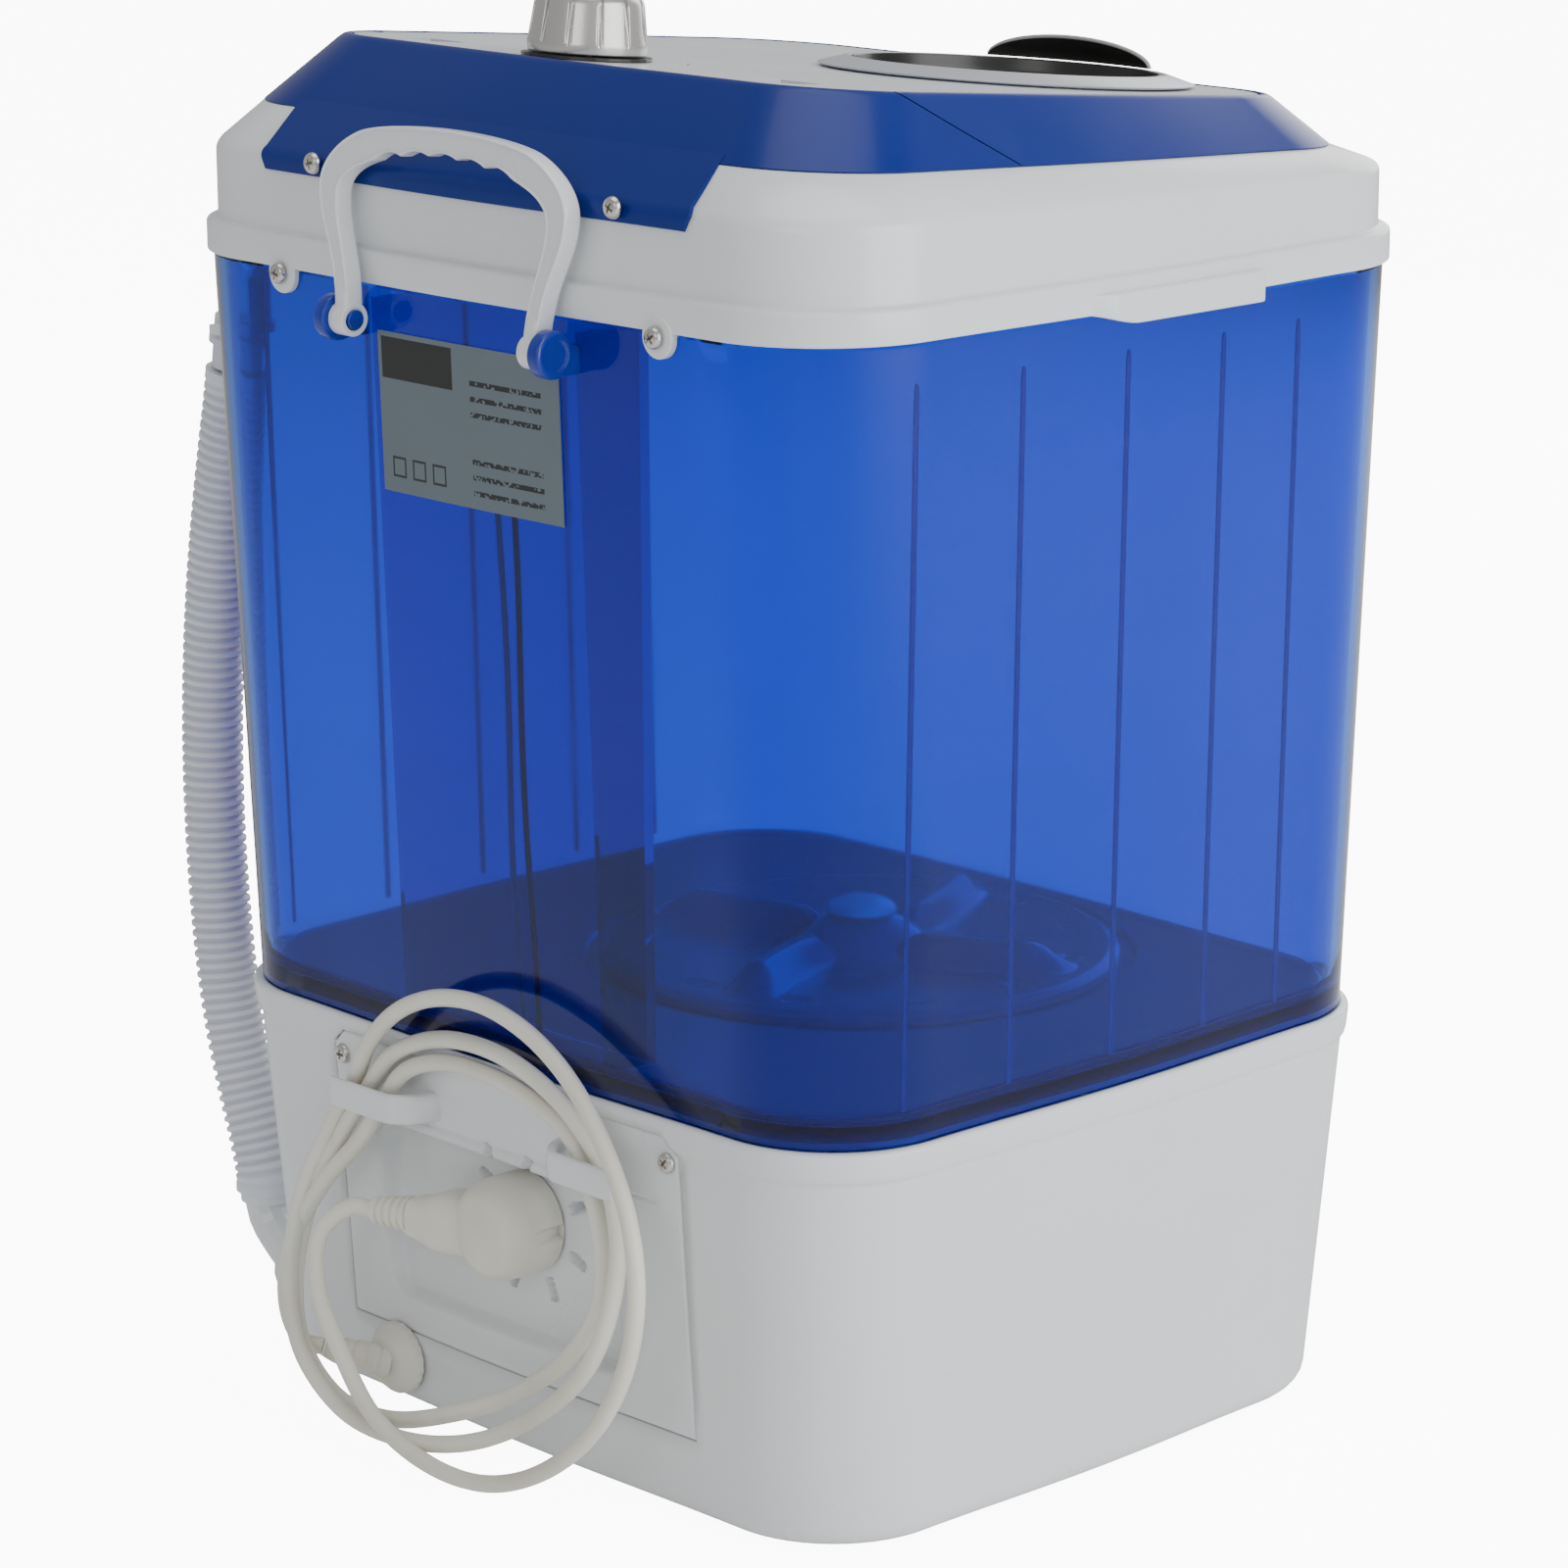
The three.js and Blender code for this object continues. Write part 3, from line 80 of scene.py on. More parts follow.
# ---- places ----
LOW, HIGH = (np.array(corner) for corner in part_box("base_housing"))
ORIGIN = np.array([(LOW[0] + HIGH[0]) / 2, (LOW[1] + HIGH[1]) / 2, LOW[2]])
MM = 0.001

# plan sizes: half width, half depth
FOOT = (173.8, 148.4)
TUB_LOW = (183.4, 157.5)
TUB_TOP = (189.4, 167.2)
RIM = (191.4, 169.2)
WALL = (187.8, 165.6)
SHOULDER = (172.8, 150.6)
DECK = (149.8, 130.6)
DECK_SHIFT = -6.0
BASE_TOP = (184.9, 159.0)
CORNER_RADIUS = 53.0
CROWN = 2.8
# levels
BASE_HEIGHT = 162.0
TUB_BOTTOM_Z = 162.3
TUB_FLOOR_Z = 169.0
TUB_TOP_Z = 462.0
RIM_TOP_Z = 475.0
CREASE_Z, CREASE_SLOPE = 502.0, 0.018
SHOULDER_Z, SHOULDER_SLOPE = 513.6, 0.053
DECK_Z, DECK_SLOPE = 536.5, 0.092
TILT = atan(DECK_SLOPE)
TUB_WALL = 2.6
# joint between lid and console
SEAM_TOP_Y, SEAM_LEAN, SEAM_GAP = 91.0, 1.42, 0.9
APRON_RADIUS = 38.0
HINGE_Y, HINGE_DROP, HINGE_X = 100.0, 6.0, 100.0
KNOB = (9.0, 98.5)
RING = (-58.0, -60.0)
RING_RADIUS, RING_WIDTH = 74.0, 13.0
HANDLE_X, HANDLE_Y, HANDLE_Z, HANDLE_LEAN = 54.5, 180.5, 450.0, radians(5)
PULSATOR_Y, PULSATOR_RADIUS = -37.0, 106.0
PANEL_HALF, PANEL_LOW, PANEL_TOP, PANEL_CHAMFER = 103.0, 32.5, 156.0, 8.0
POCKET = (-64.0, 78.0, 48.0, 122.0)
PLUG_X, PLUG_Z = -4.0, 97.0
GLAND_X, GLAND_Z = 72.0, 21.0
HOSE_Y = 118.0
# walls and depths
FRAME_WALL, PANEL_WALL, BASE_WALL, INSERT_WALL = 3.0, 1.6, 3.0, 2.2
POCKET_DEPTH, SLOT_DEPTH = 11.0, 7.0
INSERT_DROP = 0.4
# smaller pieces
RIB_PLACES = (117, 64, 10, -43, -87)
LABEL_X, LABEL_Z = (-53, 51), (383, 445)
HOOK_Z, HOOK_HEIGHT = 136.0, 12
TAB_X, TAB_Z = 108.0, 460.5
LUG_Z, LUG_TOP_Z, LUG_HEIGHT = 464.0, 470.0, 12.0
FLAP_HALF = 120.6
CORD_RADIUS, HOSE_RADIUS = 3.5, 13.0


def place(points):
    """Millimetres in the machine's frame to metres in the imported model's frame."""
    return np.asarray(points, float) * MM + ORIGIN


def deck_z(y):
    """Level of the sloping deck."""
    return DECK_Z + DECK_SLOPE * np.asarray(y, float)


def smooth_step(value, low, high):
    """0 below low, 1 above high, and 3t^2 - 2t^3 between."""
    t = np.clip((np.asarray(value, float) - low) / (high - low), 0, 1)
    return t * t * (3 - 2 * t)


def around(count):
    """The angles of a full turn in equal steps."""
    return np.linspace(0, 2 * pi, count, endpoint=False)


# ---- surfaces ----
def grid_faces(rows, cols, wrap_rows=False, wrap_cols=True):
    """Quads between neighbouring rows and columns of a grid of points."""
    i = np.arange(rows if wrap_rows else rows - 1)[:, None]
    j = np.arange(cols if wrap_cols else cols - 1)[None, :]
    i2, j2 = (i + 1) % rows, (j + 1) % cols
    quads = np.stack([i * cols + j, i * cols + j2, i2 * cols + j2, i2 * cols + j], -1)
    return quads.reshape(-1, 4)


def turn_outwards(points, faces):
    """Reverses the faces of a closed shape whose signed volume is negative."""
    corners = points[faces]
    six_volumes = 0.0
    for k in range(1, faces.shape[1] - 1):
        six_volumes += (corners[:, 0] * np.cross(corners[:, k], corners[:, k + 1])).sum()
    return faces[:, ::-1] if six_volumes < 0 else faces


def closed(rings, wrap_rows=False):
    """A closed skin over rings of points [row, column, xyz]. Open ends get a pole in their middle."""
    rows, cols = rings.shape[:2]
    points = rings.reshape(-1, 3)
    faces = grid_faces(rows, cols, wrap_rows)
    if not wrap_rows:
        poles = np.stack([rings[0].mean(0), rings[-1].mean(0)])
        j = np.arange(cols)
        j2 = (j + 1) % cols
        last = (rows - 1) * cols
        first_fan = np.stack([np.full(cols, len(points)), j2, j, j], -1)
        last_fan = np.stack([np.full(cols, len(points) + 1), last + j, last + j2, last + j2], -1)
        points = np.concatenate([points, poles])
        faces = np.concatenate([faces, first_fan, last_fan])
    return points, turn_outwards(points, faces)


def soften(rows, radii, wrap=True, steps=4):
    """Rounds the corners of a profile. Each row is a point of any number of values, the first two
    of which measure length. A corner P with radius r becomes the curve
    (1-t)^2 A + 2t(1-t) P + t^2 B between the points A and B that lie r before and after it."""
    rows = np.asarray(rows, float)
    radii = np.broadcast_to(np.asarray(radii, float), len(rows))
    out = []
    for k, (point, radius) in enumerate(zip(rows, radii)):
        ends = not wrap and k in (0, len(rows) - 1)
        if radius <= 0 or ends:
            out.append(point)
            continue
        before, after = rows[k - 1], rows[(k + 1) % len(rows)]
        a, b = (point + (other - point) * min(radius / (np.hypot(*(other - point)[:2]) + 1e-9), 0.48)
                for other in (before, after))
        t = np.linspace(0, 1, steps + 1)[:, None]
        out.extend((1 - t) ** 2 * a + 2 * t * (1 - t) * point + t ** 2 * b)
    return np.array(out)


def outline(width, depth, shift=0.0, radius=None, bulge=None, side_x=96, side_y=48, corner=14):
    """The plan outline of the machine: four arcs and four sides that bulge by b (1 - s^2)^2."""
    scale = width / TUB_TOP[0]
    r = CORNER_RADIUS * scale if radius is None else radius
    b = CROWN * scale if bulge is None else bulge
    sx, sy = (np.linspace(-1, 1, n, endpoint=False) for n in (side_x, side_y))
    bow = lambda s: b * (1 - s ** 2) ** 2
    arc = np.linspace(0, pi / 2, corner, endpoint=False)
    w, d = width - r, depth - r
    right = np.stack([width + bow(sx), sx * d], -1)
    back = np.stack([-sy * w, depth + bow(sy)], -1)
    corners = [np.stack([cx * w + r * np.cos(arc + a), cy * d + r * np.sin(arc + a)], -1)
               for cx, cy, a in ((1, 1, 0), (-1, 1, pi / 2), (-1, -1, pi), (1, -1, 1.5 * pi))]
    parts = [right, corners[0], back, corners[1], -right, corners[2], -back, corners[3]]
    return np.concatenate(parts) + [0, shift]


def plan_rings(rows):
    """Rings from rows of [half width, level, half depth, slope along y, shift along y]."""
    rings = []
    for width, level, depth, slope, shift in rows:
        xy = outline(width, depth, shift)
        rings.append(np.column_stack([xy, level + slope * xy[:, 1]]))
    return np.stack(rings)


def circle_like(ring, centre, radius, level):
    """A circle whose points stand in the same directions as those of a ring."""
    angle = np.arctan2(ring[:, 1] - centre[1], ring[:, 0] - centre[0])
    return np.column_stack([centre[0] + radius * np.cos(angle), centre[1] + radius * np.sin(angle),
                            np.full(len(ring), level)])


def turned(profile, sides=64):
    """A profile of [radius, height] turned about the Z axis. Points on the axis are left to the pole."""
    profile = np.asarray(profile, float)
    profile = profile[profile[:, 0] > 1e-6]
    angle = around(sides)
    r, z = profile[:, 0, None], profile[:, 1, None]
    return np.stack([r * np.cos(angle), r * np.sin(angle), z + 0 * angle], -1)


def stand(points, origin, axis):
    """Turns shapes that stand on the Z axis so that they stand at origin along axis."""
    axis = np.asarray(axis, float) / np.linalg.norm(axis)
    helper = np.array([0.0, 1.0, 0.0]) if abs(axis[1]) < 0.9 else np.array([1.0, 0.0, 0.0])
    across = np.cross(helper, axis)
    across /= np.linalg.norm(across)
    basis = np.stack([across, np.cross(axis, across), axis])
    return points @ basis + np.asarray(origin, float)


def on_deck(points, centre, lift=0.0):
    """Tilts a shape that is drawn about the Z axis with the deck and puts it at centre."""
    turn = np.array(Matrix.Rotation(TILT, 3, "X"))
    return points @ turn.T + [centre[0], centre[1], DECK_Z + DECK_SLOPE * centre[1] + lift]


def smooth_route(points, per_span=14):
    """A centripetal Catmull-Rom curve through the points: between P1 and P2 a cubic whose end
    slopes weigh the neighbouring chords by the square roots of their lengths."""
    p = np.asarray(points, float)
    p = np.vstack([2 * p[0] - p[1], p, 2 * p[-1] - p[-2]])
    root = np.sqrt(np.linalg.norm(np.diff(p, axis=0), axis=1))[:, None]
    d0, d1, d2 = root[:-2], root[1:-1], root[2:]
    p0, p1, p2, p3 = p[:-3], p[1:-2], p[2:-1], p[3:]
    m1 = ((p1 - p0) / d0 - (p2 - p0) / (d0 + d1) + (p2 - p1) / d1) * d1
    m2 = ((p2 - p1) / d1 - (p3 - p1) / (d1 + d2) + (p3 - p2) / d2) * d1
    t = np.linspace(0, 1, per_span, endpoint=False)[None, :, None]
    a, b, m, n = (v[:, None, :] for v in (p1, p2, m1, m2))
    curve = ((2 * t**3 - 3 * t**2 + 1) * a + (t**3 - 2 * t**2 + t) * m
             + (3 * t**2 - 2 * t**3) * b + (t**3 - t**2) * n)
    return np.vstack([curve.reshape(-1, 3), p[-2]])


def run_length(path):
    """Distance along a path up to each of its points."""
    return np.concatenate([[0], np.cumsum(np.linalg.norm(np.diff(path, axis=0), axis=1))])


def swept(path, radius, sides=16, reference=(0, 1, 0)):
    """A round section carried along a path. Radius is one value or one for each point."""
    tangent = np.gradient(path, axis=0)
    tangent /= np.linalg.norm(tangent, axis=1)[:, None]
    reference = np.asarray(reference, float)
    first = reference - (tangent @ reference)[:, None] * tangent
    first /= np.linalg.norm(first, axis=1)[:, None]
    second = np.cross(tangent, first)
    angle = around(sides)[None, :, None]
    r = np.broadcast_to(np.asarray(radius, float), len(path))[:, None, None]
    return path[:, None] + r * (np.cos(angle) * first[:, None] + np.sin(angle) * second[:, None])


def between_edges(inner, outer, thickness, across, power=0.45, sides=24):
    """A rounded bar between two edge lines: at each station the section is the superellipse
    M + a cos^p(v) A + b sin^p(v) B, where A points from one edge to the other and B across."""
    middle, half = (inner + outer) / 2, (outer - inner) / 2
    v = around(sides)[None, :, None]
    lobe = lambda f: np.sign(f) * np.abs(f) ** power
    b = np.asarray(across, float) * thickness / 2
    return middle[:, None] + lobe(np.cos(v)) * half[:, None] + lobe(np.sin(v)) * b


def bezier(points, count, last=False):
    """Points on a quadratic or cubic Bezier curve."""
    p = np.asarray(points, float)
    t = np.linspace(0, 1, count, endpoint=last)[:, None]
    if len(p) == 3:
        return (1 - t) ** 2 * p[0] + 2 * t * (1 - t) * p[1] + t ** 2 * p[2]
    return ((1 - t) ** 3 * p[0] + 3 * t * (1 - t) ** 2 * p[1] + 3 * t ** 2 * (1 - t) * p[2]
            + t ** 3 * p[3])


# ---- finishes ----
def node_group(name, inputs, outputs):
    """An empty shader group with the named sockets, and its two end nodes."""
    group = bpy.data.node_groups.new(name, "ShaderNodeTree")
    for direction, sockets in (("INPUT", inputs), ("OUTPUT", outputs)):
        for socket, kind, value in sockets:
            made = group.interface.new_socket(name=socket, in_out=direction, socket_type=kind)
            if value is not None:
                made.default_value = value
    return group, group.nodes.new("NodeGroupInput"), group.nodes.new("NodeGroupOutput")


def feed(tree, socket, value):
    """Links a socket to the value that it takes, or sets it to a constant."""
    if isinstance(value, bpy.types.NodeSocket):
        tree.links.new(value, socket)
    else:
        socket.default_value = value


def new_node(tree, kind, **values):
    """A node with values for its inputs, by name; an underscore in a name stands for a space."""
    node = tree.nodes.new(kind)
    for name, value in values.items():
        feed(tree, node.inputs[name.replace("_", " ")], value)
    return node


def noise(tree, scale, detail=3.0, stretch=None):
    """Noise on object coordinates, which may be stretched first."""
    where = tree.nodes.new("ShaderNodeTexCoord").outputs["Object"]
    if stretch is not None:
        where = new_node(tree, "ShaderNodeMapping", Scale=stretch, Vector=where).outputs["Vector"]
    return new_node(tree, "ShaderNodeTexNoise", Scale=scale, Detail=detail, Vector=where).outputs["Fac"]


def ramp(tree, value, low, high):
    """A value spread from 0 at low to 1 at high."""
    return new_node(tree, "ShaderNodeMapRange", From_Min=low, From_Max=high, Value=value).outputs["Result"]


def calculate(tree, operation, *values):
    """The result of a math node."""
    node = tree.nodes.new("ShaderNodeMath")
    node.operation = operation
    for socket, value in zip(node.inputs, values):
        feed(tree, socket, value)
    return node.outputs[0]


def blend(tree, factor, first, second):
    """Two colours mixed by a factor."""
    node = tree.nodes.new("ShaderNodeMix")
    node.data_type = "RGBA"
    for name, value in (("Factor", factor), ("A", first), ("B", second)):
        feed(tree, node.inputs[name], value)
    return node.outputs["Result"]


def bump(tree, height, strength, distance):
    """A normal that follows a height, with its distance in metres."""
    node = new_node(tree, "ShaderNodeBump", Strength=strength, Distance=distance, Height=height)
    return node.outputs["Normal"]


SURFACE_OUTPUTS = [("Colour", "NodeSocketColor", None), ("Roughness", "NodeSocketFloat", None),
                   ("Normal", "NodeSocketVector", None)]


def moulded_group():
    """Moulded plastic: fine grain in the normal, cloudy gloss, and dull smears from handling."""
    group, start, end = node_group(
        "Moulded surface",
        [("Colour", "NodeSocketColor", (0.8, 0.8, 0.8, 1)), ("Soil", "NodeSocketColor", (0.3, 0.3, 0.3, 1)),
         ("Soiling", "NodeSocketFloat", 0.05), ("Gloss", "NodeSocketFloat", 0.25),
         ("Spread", "NodeSocketFloat", 0.08), ("Grain scale", "NodeSocketFloat", 900.0),
         ("Grain", "NodeSocketFloat", 0.05)], SURFACE_OUTPUTS)
    given = start.outputs
    cloud = ramp(group, noise(group, 14.0, 5.0), 0.42, 0.75)
    soiled = calculate(group, "MULTIPLY", cloud, given["Soiling"])
    feed(group, end.inputs["Colour"], blend(group, soiled, given["Colour"], given["Soil"]))
    feed(group, end.inputs["Roughness"],
         calculate(group, "MULTIPLY_ADD", cloud, given["Spread"], given["Gloss"]))
    grain = noise(group, given["Grain scale"], 2.0)
    feed(group, end.inputs["Normal"], bump(group, grain, given["Grain"], 0.0004))
    return group


def brushed_group():
    """Turned or drawn metal: fine streaks along one axis and spots of rust or wear."""
    group, start, end = node_group(
        "Worked metal",
        [("Colour", "NodeSocketColor", (0.6, 0.6, 0.6, 1)),
         ("Wear", "NodeSocketColor", (0.25, 0.15, 0.08, 1)),
         ("Worn", "NodeSocketFloat", 0.4), ("Gloss", "NodeSocketFloat", 0.25)], SURFACE_OUTPUTS)
    given = start.outputs
    spots = ramp(group, noise(group, 420.0, 4.0), 0.5, 0.72)
    worn = calculate(group, "MULTIPLY", spots, given["Worn"])
    feed(group, end.inputs["Colour"], blend(group, worn, given["Colour"], given["Wear"]))
    feed(group, end.inputs["Roughness"], calculate(group, "MULTIPLY_ADD", worn, 0.35, given["Gloss"]))
    streaks = noise(group, 1.0, 2.0, (2500.0, 2500.0, 90.0))
    feed(group, end.inputs["Normal"], bump(group, streaks, 0.15, 0.0002))
    return group


def new_material(name):
    """A material with only a Principled shader and its output."""
    material = bpy.data.materials.new(name)
    material.use_nodes = True
    tree = material.node_tree
    return material, tree, tree.nodes["Principled BSDF"]


def wire_up(tree, shader, group, values):
    """Places a shared group in a material with its own values."""
    node = tree.nodes.new("ShaderNodeGroup")
    node.node_tree = group
    for socket, value in values.items():
        node.inputs[socket].default_value = value
    for socket, target in (("Colour", "Base Color"), ("Roughness", "Roughness"), ("Normal", "Normal")):
        tree.links.new(node.outputs[socket], shader.inputs[target])
    return node


def plastic(name, group, colour, gloss=0.25, spread=0.08, soil=(0.35, 0.33, 0.30, 1), soiling=0.06,
            grain=0.05, grain_scale=900.0, **constants):
    """Moulded plastic of one colour; constants are set straight on the shader's sockets."""
    material, tree, shader = new_material(name)
    wire_up(tree, shader, group, {"Colour": colour, "Soil": soil, "Soiling": soiling, "Gloss": gloss,
                                  "Spread": spread, "Grain": grain, "Grain scale": grain_scale})
    for socket, value in constants.items():
        shader.inputs[socket.replace("_", " ")].default_value = value
    return material


def metal(name, group, colour, wear, worn, gloss, metallic=1.0):
    """Worked metal of one colour."""
    material, tree, shader = new_material(name)
    wire_up(tree, shader, group, {"Colour": colour, "Wear": wear, "Worn": worn, "Gloss": gloss})
    shader.inputs["Metallic"].default_value = metallic
    return material


def ribbed_material(name, group, colour, groove_shade_colour, **values):
    """Hose plastic whose grooves read the piece's own attribute "groove" and turn darker: painted shade in
    the grooves.
    """
    material = plastic(name, group, colour, **values)
    tree = material.node_tree
    shader = tree.nodes["Principled BSDF"]
    source = shader.inputs["Base Color"].links[0].from_socket
    groove = tree.nodes.new("ShaderNodeAttribute")
    groove.attribute_name = "groove"
    # painted shade: the colour is mixed towards a darker one where the hose has grooves
    feed(tree, shader.inputs["Base Color"], blend(tree, groove.outputs["Fac"], source, groove_shade_colour))
    return material


def label_material(name, group, ink, paper):
    """A grey foil plate with a dark block, rows of short dashes and three plain squares. A mask is
    the product of two bands, one along X and one along Z, on coordinates from the plate's middle."""
    material, tree, shader = new_material(name)
    foil = wire_up(tree, shader, group, {"Colour": paper, "Soil": (0.2, 0.22, 0.24, 1), "Soiling": 0.2,
                                         "Gloss": 0.38, "Spread": 0.1, "Grain": 0.1})
    low, high = (np.array(corner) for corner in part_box("rating_plate"))
    where = tree.nodes.new("ShaderNodeTexCoord").outputs["Object"]
    middle = new_node(tree, "ShaderNodeMapping", Location=-(low + high) / 2, Vector=where)
    split = new_node(tree, "ShaderNodeSeparateXYZ", Vector=middle.outputs["Vector"])

    def band(axis, centre, half):
        offset = calculate(tree, "SUBTRACT", split.outputs[axis], centre * MM)
        return calculate(tree, "LESS_THAN", calculate(tree, "ABSOLUTE", offset), half * MM)

    def cell(x, z, half_x, half_z):
        return calculate(tree, "MULTIPLY", band("X", x, half_x), band("Z", z, half_z))

    mask = cell(29.0, 21.0, 21.0, 8.0)
    words = calculate(tree, "GREATER_THAN", noise(tree, 700.0, 0.0), 0.4)
    for row in (0, 1, 2, 5, 6, 7):
        line = calculate(tree, "MULTIPLY", cell(-22.0, 17.0 - 6.0 * row, 20.0, 1.0), words)
        mask = calculate(tree, "MAXIMUM", mask, line)
    for k in range(3):
        x = 42.0 - 12.0 * k
        square = calculate(tree, "SUBTRACT", cell(x, -21.0, 4.0, 4.0), cell(x, -21.0, 3.1, 3.1))
        mask = calculate(tree, "MAXIMUM", mask, square)
    feed(tree, shader.inputs["Base Color"], blend(tree, mask, foil.outputs["Colour"], ink))
    return material


def make_materials(look):
    """Every finish of the machine, by the name that add_piece looks up."""
    moulded, worked = moulded_group(), brushed_group()
    return {
        "white": plastic("White ABS", moulded, (*look.white, 1), gloss=0.22, soiling=look.soiling,
                         soil=(0.45, 0.42, 0.36, 1), Specular_IOR_Level=0.5),
        "blue": plastic("Royal blue ABS", moulded, (*look.blue, 1), gloss=0.3, soiling=0.03,
                        soil=(0.05, 0.12, 0.4, 1), Specular_IOR_Level=0.25, Coat_Weight=0.1,
                        Coat_Roughness=0.12),
        "tub": plastic("Tinted tub", moulded, (*look.tub, 1), gloss=0.03, spread=0.05, grain=0.0,
                       soiling=0.06, soil=(0.25, 0.45, 0.9, 1), grain_scale=300.0,
                       Transmission_Weight=1.0, IOR=1.36),
        "boss": plastic("Tinted boss", moulded, (*look.boss, 1), gloss=0.1, spread=0.05, soiling=0.03,
                        soil=(0.1, 0.2, 0.7, 1), Transmission_Weight=0.5, IOR=1.45),
        "duct": plastic("Duct cover", moulded, (*look.duct, 1), gloss=0.05, grain=0.0, soiling=0.0,
                        Transmission_Weight=1.0, IOR=1.06),
        "floor": plastic("Tub floor", moulded, (*look.deep, 1), gloss=0.12, spread=0.05, soiling=0.03,
                         soil=(0.1, 0.2, 0.7, 1), Transmission_Weight=0.25, IOR=1.4),
        "silver": plastic("Silver lacquer", moulded, (*look.silver, 1), gloss=0.24, soiling=0.2,
                          soil=(0.30, 0.29, 0.27, 1), grain=0.08, grain_scale=1800.0, Metallic=0.75),
        "ring": plastic("Pale grey lacquer", moulded, (0.50, 0.52, 0.57, 1), gloss=0.3, soiling=0.05,
                        Metallic=0.25),
        "smoked": plastic("Smoked plastic", moulded, (0.022, 0.022, 0.021, 1), gloss=0.28, soiling=0.5,
                          soil=(0.06, 0.055, 0.05, 1)),
        "rim": plastic("Hood rim", moulded, (0.32, 0.32, 0.31, 1), gloss=0.3),
        # the second colour is painted shade in the hose's grooves
        "hose": ribbed_material("Hose plastic", moulded, (0.74, 0.77, 0.83, 1), (0.56, 0.61, 0.70, 1),
                                gloss=0.36, soiling=0.15, Subsurface_Weight=0.15),
        "cuff": plastic("Cuff plastic", moulded, (0.62, 0.66, 0.72, 1), gloss=0.3, soiling=0.1),
        "cream": plastic("Cream PVC", moulded, (*look.cream, 1), gloss=0.36, soiling=0.35,
                         soil=(0.42, 0.37, 0.28, 1), grain=0.12, grain_scale=500.0,
                         Subsurface_Weight=0.08),
        "rubber": plastic("Black rubber", moulded, (0.02, 0.02, 0.021, 1), gloss=0.7, grain=0.4,
                          soiling=0.4, soil=(0.08, 0.075, 0.07, 1)),
        "enamel": metal("Grey enamel", worked, (0.16, 0.18, 0.20, 1), (0.25, 0.12, 0.06, 1), 0.3, 0.45,
                        0.4),
        "steel": metal("Plated steel", worked, (0.62, 0.61, 0.58, 1), (0.28, 0.15, 0.07, 1), 0.25, 0.24),
        "rust": metal("Worn recess", worked, (0.30, 0.22, 0.14, 1), (0.10, 0.05, 0.03, 1), 0.9, 0.5, 0.6),
        "brown_wire": plastic("Brown insulation", moulded, (0.07, 0.03, 0.015, 1), gloss=0.4),
        "blue_wire": plastic("Blue insulation", moulded, (0.02, 0.06, 0.25, 1), gloss=0.4),
        "label": label_material("Rating plate", moulded, (0.006, 0.007, 0.008, 1),
                                (0.11, 0.15, 0.175, 1)),
    }


MATERIALS = {}


def add_piece(name, shapes, finish, body="cabinet", replaces=(), crease=38, attribute=None):
    """One object from closed shapes, each (points in mm, faces). It rides on a body, stands for CAD
    nodes and takes its finish, and the slot that goes with it, by name; edges sharper than crease
    degrees stay sharp."""
    offset, points, faces = 0, [], []
    for shape_points, shape_faces in shapes:
        points.append(shape_points)
        # a fan's quad names one corner twice and becomes a triangle
        faces.extend([corner + offset for corner in dict.fromkeys(map(int, face))] for face in shape_faces)
        offset += len(shape_points)
    return add_mesh(name, np.concatenate(points), faces, finish, body, replaces, crease, attribute)


def add_mesh(name, points, faces, finish, body, replaces=(), crease=38, attribute=None):
    """One object from points in mm and lists of corners; attribute is the groove depth at each point."""
    mesh = bpy.data.meshes.new(name)
    mesh.from_pydata(place(points).tolist(), [], faces)
    mesh.validate()
    piece = bpy.data.objects.new(name, mesh)
    bpy.context.scene.collection.objects.link(piece)
    finishes = [finish] if isinstance(finish, str) else finish
    for one in finishes:
        mesh.materials.append(MATERIALS[one])
    if attribute is not None:
        layer = mesh.attributes.new("groove", "FLOAT", "POINT")
        layer.data.foreach_set("value", np.asarray(attribute, np.float32))
    mesh.shade_smooth()
    mesh.set_sharp_from_angle(angle=radians(crease))
    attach(piece, body)
    if replaces:
        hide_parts(*([replaces] if isinstance(replaces, str) else replaces))
    return piece


def thicken(piece, depth, rim_material=0):
    """Gives an open skin a wall of depth millimetres towards its inside."""
    solidify = piece.modifiers.new("Wall", "SOLIDIFY")
    solidify.thickness = depth * MM
    solidify.offset = -1.0
    solidify.use_even_offset = True
    solidify.material_offset_rim = rim_material
    return piece


# ---- base ----
def base_half(z):
    """Half width and half depth of the base at a height: straight sides that lean out."""
    share = np.asarray(z, float) / BASE_HEIGHT
    return (FOOT[0] + (BASE_TOP[0] - FOOT[0]) * share, FOOT[1] + (BASE_TOP[1] - FOOT[1]) * share)


def rear_wall_y(x, z):
    """The rear wall of the base: half depth plus the bulge b (1 - s^2)^2."""
    width, depth = base_half(z)
    scale = width / TUB_TOP[0]
    s = np.clip(np.asarray(x, float) / (width - CORNER_RADIUS * scale), -1, 1)
    return depth + CROWN * scale * (1 - s ** 2) ** 2


